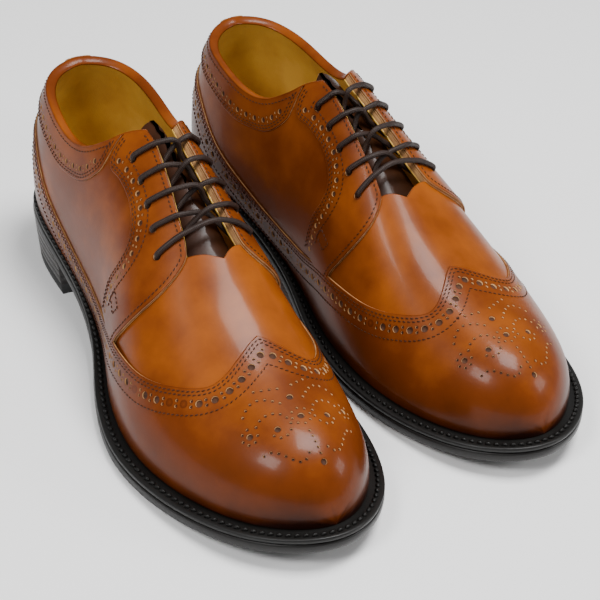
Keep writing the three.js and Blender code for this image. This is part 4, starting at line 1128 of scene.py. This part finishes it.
facing_foot = curve((5.92, 0.22), (5.5, 0.2), (5.1, 0.19))
facing_outline = ring_of(facing_top, throat, facing_front, facing_foot, facing_back)
facing_row = within(facing_back[:-6], facing_back, -FACING_ROW)
facing_holes = spaced(np.vstack([punched_row(facing_row, **NARROW_ROW), lace_holes]))
facing_holes = facing_holes[inside(facing_outline, facing_holes[:, :2])]
facing_holes = facing_holes[apart(facing_holes[:, :2], facing_outline, 2.2)]
front_seam_line = within(np.vstack([throat, facing_front[1:]]), facing_outline, -2.2)
rim_seams = [within(facing_back, facing_outline, -inset) for inset in FACING_SEAMS]
rim_seams.append(front_seam_line)
BOX_TURN = math.radians(28)  # the sewn box lies along the facing's back edge
box_shape = dotted([(-3, -4.5), (3, -4.5), (3, 4.5), (-3, 4.5), (-3, -4.5)], 1.0)
box_line = from_centre(
    (5.6, 0.35), box_shape[:, 0] * math.cos(BOX_TURN) + box_shape[:, 1] * math.sin(BOX_TURN),
    box_shape[:, 1] * math.cos(BOX_TURN) - box_shape[:, 0] * math.sin(BOX_TURN))


def clear_of(line, outline, distance):
    """The part of a line that lies inside an outline, at least that far from its edge."""
    return line[inside(outline, line) & apart(line, outline, distance)]


for side_name, turned in (("outer", lambda line: line), ("inner", inner)):
    holes = np.column_stack([turned(facing_holes[:, :2]), facing_holes[:, 2]])
    cut = cut_leather(turned(facing_outline), COVER, CALF, holes, pit=1.05)
    upper_piece(f"facing_{side_name}_calf", cut, [f"facing_{side_name}"])
    rows = [clear_of(line, facing_outline, 1.2) for line in rim_seams]
    sewn(f"facing_{side_name}_stitching", [
        seam(turned(line), COVER) for line in [*rows, box_line] if len(line) > 6])

# ------------------------------------------------------------------ collar bands
# A band of calf strengthens each side of the topline. Its lower edge is raw, with a punched row
# between two seams, and its top edge is turned in over the lining.
band_low = curve((SEAM, 0.56), (1, 0.53), (2, 0.455), (2.8, 0.4), (3.3, 0.41), (3.7, 0.45),
                 (3.98, 0.54), (4.06, 0.62), tuple(facing_top[0] - (0.03, 0.012)))
band_top = topline[(topline[:, 0] > SEAM) & (topline[:, 0] < facing_top[0, 0] - 0.03)]
band_back = curve((SEAM, 0.56), (SEAM, 0.62), (SEAM, 0.68))
band_outline = ring_of(band_back[:-1], band_top, band_low[::-1])
BAND_ROW = 6.0  # distance of the punched row from the band's lower edge
BAND_SEAMS = (1.7, 3.2)
TOP_SEAM = 2.6  # distance of the top seam from the topline
band_row = clear_of(within(band_low, band_outline, BAND_ROW), band_outline, 4.6)
band_holes = spaced(punched_row(band_row, **NARROW_ROW))
band_seams = [clear_of(within(band_low, band_low, inset), band_outline, 1.1)
              for inset in BAND_SEAMS]
band_seams.append(clear_of(within(topline, topline, -TOP_SEAM), band_outline, 1.5))
for side_name, turned in (("outer", lambda line: line), ("inner", inner)):
    holes = np.column_stack([turned(band_holes[:, :2]), band_holes[:, 2]])
    cut = cut_leather(turned(band_outline), COVER, CALF, holes)
    upper_piece(f"collar_band_{side_name}_calf", cut, [f"collar_band_{side_name}"])
    sewn(f"collar_band_{side_name}_stitching", [seam(turned(line), COVER) for line in band_seams])

# ------------------------------------------------------------------ backstays
# A short strip covers the seam at the back of the collar. It is sewn down along both sides.
BACKSTAY_DEPTH = 2.25
BACKSTAY = 0.8
backstay_side = curve((0, 0.675), (0.39, 0.667), (0.36, 0.6), (0.32, 0.5), (0.27, 0.44), (0, 0.43))
backstay_outline = ring_of(backstay_side, (backstay_side * (-1, 1))[::-1][1:-1])
backstay_cut = cut_leather(backstay_outline, BACKSTAY_DEPTH, BACKSTAY, mesh=2.0)
upper_piece("backstay_calf", backstay_cut, ["backstay"], deeper=-0.05)
backstay_row = clear_of(within(curve((0.39, 0.667), (0.36, 0.6), (0.32, 0.5), (0.27, 0.44)),
                               backstay_outline, -1.4), backstay_outline, 1.0)
if len(backstay_row) > 3:
    sewn("backstay_stitching", [seam(backstay_row, BACKSTAY_DEPTH),
                                seam(backstay_row * (-1, 1), BACKSTAY_DEPTH)])

# ------------------------------------------------------------------ toplines
# Round the topline the calf is thinned, turned in and sewn to the lining as a bead. Down the
# throat the layers are cut flush and left raw.


def rounded_strip(line, depth, half_deep, half_wide, inset, sides=10):
    """A strip along a line on the last: each section is an ellipse across the leather's layers."""
    line = beside(line, inset)
    middle, normal = layer(line, np.full(len(line), depth)), outward(line)
    along = np.gradient(middle, axis=0)
    along /= np.linalg.norm(along, axis=1, keepdims=True)
    across = np.cross(along, normal)
    turn = np.arange(sides) / sides * 2 * np.pi
    grid = (middle[:, None] + normal[:, None] * (half_deep * np.cos(turn))[None, :, None]
            + across[:, None] * (half_wide * np.sin(turn))[None, :, None])
    return swept(grid, middle)


def swept(grid, middle):
    """Quads round and along a grid of sections, with a cap on both ends. The UV runs along in mm
    and round once."""
    rows, sides = grid.shape[:2]
    r, a = np.meshgrid(np.arange(rows - 1), np.arange(sides), indexing="ij")
    one, two = (r * sides + a).ravel(), (r * sides + (a + 1) % sides).ravel()
    quads = np.stack([one, two, two + sides, one + sides], -1)
    caps = np.stack([np.arange(sides)[::-1], (rows - 1) * sides + np.arange(sides)])
    run = np.concatenate([[0], np.cumsum(np.linalg.norm(np.diff(middle, axis=0), axis=1))])
    uv = np.stack(np.broadcast_arrays(run[:, None], (np.arange(sides) / sides)[None]), -1)
    return grid.reshape(-1, 3), [quads, caps], uv.reshape(-1, 2)


half_topline = curve((0.0, 0.68), (1, 0.65), (2, 0.595), (2.9, 0.545), (3.45, 0.57), (3.85, 0.67),
                     (4.1, 0.79), (4.3, 0.885), pitch=1.2)
whole_topline = np.vstack([half_topline[::-1], (half_topline * (-1, 1))[1:]])
BEAD = {"depth": -1.25, "half_deep": 2.75, "half_wide": 0.75}
THROAT_EDGE = {"depth": -1.5, "half_deep": 2.3, "half_wide": 0.7}
EDGE_INSET = 0.75
bead_points, bead_faces, _ = rounded_strip(whole_topline, **BEAD, inset=0)
throat_line = np.vstack([throat, facing_front[1:]])
throat_line = throat_line[throat_line[:, 1] > 0.5]
throat_strips = [rounded_strip(throat_line, **THROAT_EDGE, inset=-EDGE_INSET),
                 rounded_strip(inner(throat_line), **THROAT_EDGE, inset=EDGE_INSET)]
filler_points, filler_faces, _ = gathered(throat_strips)
pair_of("topline_bead", bead_points, bead_faces, [calf], "calf",
        shades=np.full(len(bead_points), 0.2))
pair_of("throat_edges", filler_points, filler_faces, [raw_edge], "calf")

# ------------------------------------------------------------------ tongues
# The tongue is sewn in under the vamp at its front end and lies loose beneath the lace.
TONGUE_TOP = 3.95
TONGUE_END = 6.75
TONGUE = 1.5
TONGUE_DEPTH = -8.85
TONGUE_RISE = 4.6
tongue_side = curve((TONGUE_TOP, 1), (TONGUE_TOP, 0.9), (4.0, 0.82), (4.1, 0.79), (5, 0.79),
                    (6.3, 0.8), (TONGUE_END, 0.9), (TONGUE_END, 1))
tongue_outline = ring_of(tongue_side, over_ridge(tongue_side)[::-1][1:-1])
tongue_calf = calf_material("dark tongue calf", (0.045, 0.014, 0.005), (0.024, 0.008, 0.003),
                            (0.008, 0.003, 0.0015), 48)


def tongue_depth(places):
    """Under the lace inside the throat, rising to the vamp lining at the front end."""
    return TONGUE_DEPTH + TONGUE_RISE * smooth((fold(places[:, 0]) - 6.2) / 0.3)


upper_piece("tongue_calf", cut_leather(tongue_outline, tongue_depth, TONGUE, rim=0.5), ["tongue"],
            "tongue_flap", "tongue", skin=tongue_calf)

# ------------------------------------------------------------------ laces
# A waxed round braid, 3 mm thick, crosses to and fro through five pairs of holes and starts as a
# bar over the lowest pair. Both ends are tucked in beside the tongue, each with a film aglet.
LACE_RADIUS = 1.35
OVER = COVER + LACE_RADIUS + 0.1
UNDER = -3.9 - LACE_RADIUS - 0.3
MID_THROAT = -1.0
CROSSING = 1.7
BAR_RISE = 2.6


def at(side, station, height, depth):
    """A point over the outer side for side 1, or over the inner side for side -1."""
    place = np.array([[station if side > 0 else STATIONS - station, height]])
    return layer(place, np.array([depth]))[0]


def strand_end(start, lift):
    """One end of the lace from the lowest hole up to the last, then tucked in."""
    points, side = [], start
    for k in range(EYELETS - 1):
        low_hole, high_hole = EYELETS - 1 - k, EYELETS - 2 - k
        s0, h0 = EYELET_STATIONS[low_hole], EYELET_HEIGHTS[low_hole]
        s1, h1 = EYELET_STATIONS[high_hole], EYELET_HEIGHTS[high_hole]
        edge = [np.interp(s0 + (s1 - s0) * share, throat[:, 0], throat[:, 1]) + 0.014
                for share in (0.3, 0.7)]
        points += [at(side, s0, h0, UNDER), at(side, s0 + (s1 - s0) * 0.3, edge[0], UNDER),
                   at(1, s0 + (s1 - s0) * 0.5, 1, MID_THROAT + lift * CROSSING),
                   at(-side, s0 + (s1 - s0) * 0.7, edge[1], OVER),
                   at(-side, s0 + (s1 - s0) * 0.86, (edge[1] + h1) / 2, OVER),
                   at(-side, s1, h1 + 0.016, OVER - 0.2), at(-side, s1, h1, COVER - 0.6),
                   at(-side, s1, h1 - 0.004, -2.5)]
        side = -side
    points.append(at(side, s1, h1, UNDER))
    for station, height, off in ((4.3, 0.66, 0), (4.15, 0.57, 0.5), (4.05, 0.48, 1.2),
                                 (3.95, 0.4, 1.6)):
        points.append(at(side, station, height, UNDER - off))
    return points


bar_station, bar_height = EYELET_STATIONS[-1], EYELET_HEIGHTS[-1]
bar_edge = np.interp(bar_station, throat[:, 0], throat[:, 1]) + 0.014
half_bar = [(bar_height - 0.004, -2.5), (bar_height, COVER - 0.6),
            (bar_height + 0.016, OVER - 0.2), ((bar_height + bar_edge) / 2, OVER), (bar_edge, OVER)]
lace_route = np.array(
    strand_end(-1, -1)[::-1] + [at(-1, bar_station, h, d) for h, d in half_bar]
    + [at(1, bar_station, 1, BAR_RISE)]
    + [at(1, bar_station, h, d) for h, d in half_bar[::-1]] + strand_end(1, 1))


def round_tube(route, radius, pitch=0.8, sides=12):
    """A tube along a Catmull-Rom curve through the route, its sections turned without twist."""
    padded = np.vstack([2 * route[0] - route[1], route, 2 * route[-1] - route[-2]])
    t = np.linspace(0, 1, 30, endpoint=False)[:, None]
    dense = np.vstack([0.5 * (2 * b + (c - a) * t + (2 * a - 5 * b + 4 * c - d) * t**2
                              + (3 * b - a - 3 * c + d) * t**3)
                       for a, b, c, d in zip(padded, padded[1:], padded[2:], padded[3:])]
                      + [route[-1:]])
    run = np.concatenate([[0], np.cumsum(np.linalg.norm(np.diff(dense, axis=0), axis=1))])
    steps = np.linspace(0, run[-1], max(3, int(run[-1] / pitch)))
    middle = np.stack([np.interp(steps, run, dense[:, n]) for n in range(3)], -1)
    along = np.gradient(middle, axis=0)
    along /= np.linalg.norm(along, axis=1, keepdims=True)
    first = np.cross(along[0], (0.3, 0.5, 0.8))
    frames = []
    for direction in along:
        first = first - direction * (first @ direction)
        first /= np.linalg.norm(first)
        frames.append(first)
    frames = np.array(frames)
    second = np.cross(along, frames)
    turn = np.arange(sides) / sides * 2 * np.pi
    width = np.full(len(middle), float(radius)) if np.isscalar(radius) else radius(steps, run[-1])
    ring = frames[:, None] * np.cos(turn)[:, None] + second[:, None] * np.sin(turn)[:, None]
    return swept(middle[:, None] + width[:, None, None] * ring, middle)


def braid_material(name, colour, dark, roughness):
    """A tubular braid: two sets of strands cross at a slant. The height is the product of two
    sine waves, one that runs left round the lace and one that runs right. The colour is darker
    where the height is low, as painted shade in the hollows between the strands, and varies in
    patches."""
    material, nodes, links, surface = fresh_material(name, roughness, Coat_Weight=0.06,
                                                     Coat_Roughness=0.3)
    surface.inputs["Specular IOR Level"].default_value = 0.3
    place = node(nodes, "UVMap", {"uv_map": "along"})
    split = nodes.new("ShaderNodeSeparateXYZ")
    links.new(place.outputs["UV"], split.inputs["Vector"])
    waves = []
    for way in (1, -1):
        run = node(nodes, "Math", {"operation": "MULTIPLY"})
        run.inputs[1].default_value = 3.6
        links.new(split.outputs["X"], run.inputs[0])
        round_it = node(nodes, "Math", {"operation": "MULTIPLY_ADD"})
        round_it.inputs[1].default_value = way * 6 * 2 * math.pi
        links.new(split.outputs["Y"], round_it.inputs[0])
        links.new(run.outputs[0], round_it.inputs[2])
        wave = node(nodes, "Math", {"operation": "SINE"})
        links.new(round_it.outputs[0], wave.inputs[0])
        waves.append(wave)
    weave = node(nodes, "Math", {"operation": "MULTIPLY"})
    links.new(waves[0].outputs[0], weave.inputs[0])
    links.new(waves[1].outputs[0], weave.inputs[1])
    height = node(nodes, "MapRange", From_Min=-1.0, From_Max=1.0)
    links.new(weave.outputs[0], height.inputs["Value"])
    wear = surface_wear(nodes, links, 90, 2400)
    # Colour from half the weave's height plus the wear patches: the hollows between the strands are
    # darker, which is painted shade.
    total = node(nodes, "Math", {"operation": "MULTIPLY_ADD"})
    total.inputs[1].default_value = 0.5
    links.new(height.outputs["Result"], total.inputs[0])
    shifted = node(nodes, "MapRange", To_Min=0.05, To_Max=0.5)
    links.new(wear.outputs["Patches"], shifted.inputs["Value"])
    links.new(shifted.outputs["Result"], total.inputs[2])
    colours = ramp(nodes, [(0.2, dark), (0.85, colour)])
    links.new(total.outputs[0], colours.inputs["Fac"])
    links.new(colours.outputs["Color"], surface.inputs["Base Color"])
    bump(nodes, links, surface, height.outputs["Result"], 0.7, 0.00025)
    return material


lace_braid = braid_material("waxed braid", (0.030, 0.0125, 0.0075), (0.006, 0.003, 0.002), 0.55)
lace_tube = round_tube(lace_route, LACE_RADIUS)
pair_of("lace_braid", lace_tube[0], lace_tube[1], [lace_braid], "lace", nodes=["lace"],
        uv=lace_tube[2])

# ------------------------------------------------------------------ aglets
# Brown film shrunk over the last part of each end, with the braid's relief showing through.
FILM_RADIUS = 1.42
# The film uses the braid's material, so its colour is also darker in the weave's hollows as painted
# shade.
aglet_film = braid_material("aglet film", (0.030, 0.014, 0.009), (0.012, 0.006, 0.004), 0.16)


def film_radius(run, length):
    """The film's radius along the tip: even, then 0.3 mm less over the last 1.2 mm."""
    return FILM_RADIUS - 0.3 * smooth((run - length + 1.2) / 1.2)


for number, (end, before) in enumerate(((lace_route[0], lace_route[1]),
                                        (lace_route[-1], lace_route[-2])), 1):
    along = (end - before) / np.linalg.norm(end - before)
    aglet_run = np.array([end - along * 1.0, end + along * 9, end + along * 20])
    aglet_tube = round_tube(aglet_run, film_radius, 0.6)
    pair_of(f"aglet_{number}_film", aglet_tube[0], aglet_tube[1], [aglet_film], "aglet",
            nodes=[f"aglet_{number}"], uv=aglet_tube[2])

# ------------------------------------------------------------------ insoles, cork and shanks
# Inside the shoe, under the sock: a thick leather insole, granulated cork between the ribs, and
# a steel shank that keeps the waist from sagging. These keep the shapes they were cut with.
insole_leather = plain_leather("insole leather", (0.44, 0.27, 0.12), (0.30, 0.17, 0.07), 0.75, 60)
granulated_cork = plain_leather("granulated cork", (0.36, 0.20, 0.09), (0.10, 0.05, 0.025), 0.9,
                                420)
shank_steel, nodes, links, surface = fresh_material("brushed shank steel", 0.35, Metallic=1.0)
shank_wear = surface_wear(nodes, links, 60, 1500)
shank_tone = ramp(nodes, [(0.3, (0.30, 0.31, 0.33)), (0.7, (0.52, 0.53, 0.55))])
links.new(shank_wear.outputs["Scuffs"], shank_tone.inputs["Fac"])
links.new(shank_tone.outputs["Color"], surface.inputs["Base Color"])
bump(nodes, links, surface, shank_wear.outputs["Scuffs"], 0.3, 0.0001)
for node_name, material in (("insole", insole_leather), ("cork_filler", granulated_cork),
                            ("shank", shank_steel)):
    for foot in ("right", "left"):
        inner_part = bpy.data.objects[f"{foot}_{node_name}"]
        inner_part.data.materials.clear()
        inner_part.data.materials.append(material)

# ------------------------------------------------------------------ floor and light
floor_mesh = bpy.data.meshes.new("floor")
floor_mesh.from_pydata([(-4, -4, 0), (4, -4, 0), (4, 4, 0), (-4, 4, 0)], [], [(0, 1, 2, 3)])
floor = bpy.data.objects.new("floor", floor_mesh)
bpy.context.scene.collection.objects.link(floor)
floor_paper, nodes, links, surface = fresh_material("pale floor paper", 0.9)
surface.inputs["Base Color"].default_value = (0.97, 0.97, 0.97, 1)
floor_mesh.materials.append(floor_paper)
floor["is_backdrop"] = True

world = bpy.data.worlds.new("studio")
bpy.context.scene.world = world
world.use_nodes = True
world.node_tree.nodes["Background"].inputs["Color"].default_value = (1.0, 1.0, 1.0, 1)
world.node_tree.nodes["Background"].inputs["Strength"].default_value = 0.3


def soft_box(name, place, aim_at, width, height, power, tint=(1, 1, 1)):
    """A rectangular studio lamp that faces a point."""
    data = bpy.data.lights.new(name, "AREA")
    data.shape = "RECTANGLE"
    data.size, data.size_y = width, height
    data.energy = power
    data.color = tint
    lamp = bpy.data.objects.new(name, data)
    bpy.context.scene.collection.objects.link(lamp)
    lamp.location = place
    lamp.rotation_euler = (Vector(aim_at) - Vector(place)).to_track_quat("-Z", "Y").to_euler()


soft_box("window side", (0.9, 0.3, 1.1), (0, 0, 0.05), 0.4, 0.4, 11)
soft_box("top", (-0.3, 0.2, 1.5), (0, 0, 0.05), 0.6, 0.6, 30)
soft_box("fill", (-1.0, 0.9, 0.7), (0, 0, 0.05), 0.4, 0.4, 6)

low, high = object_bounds()
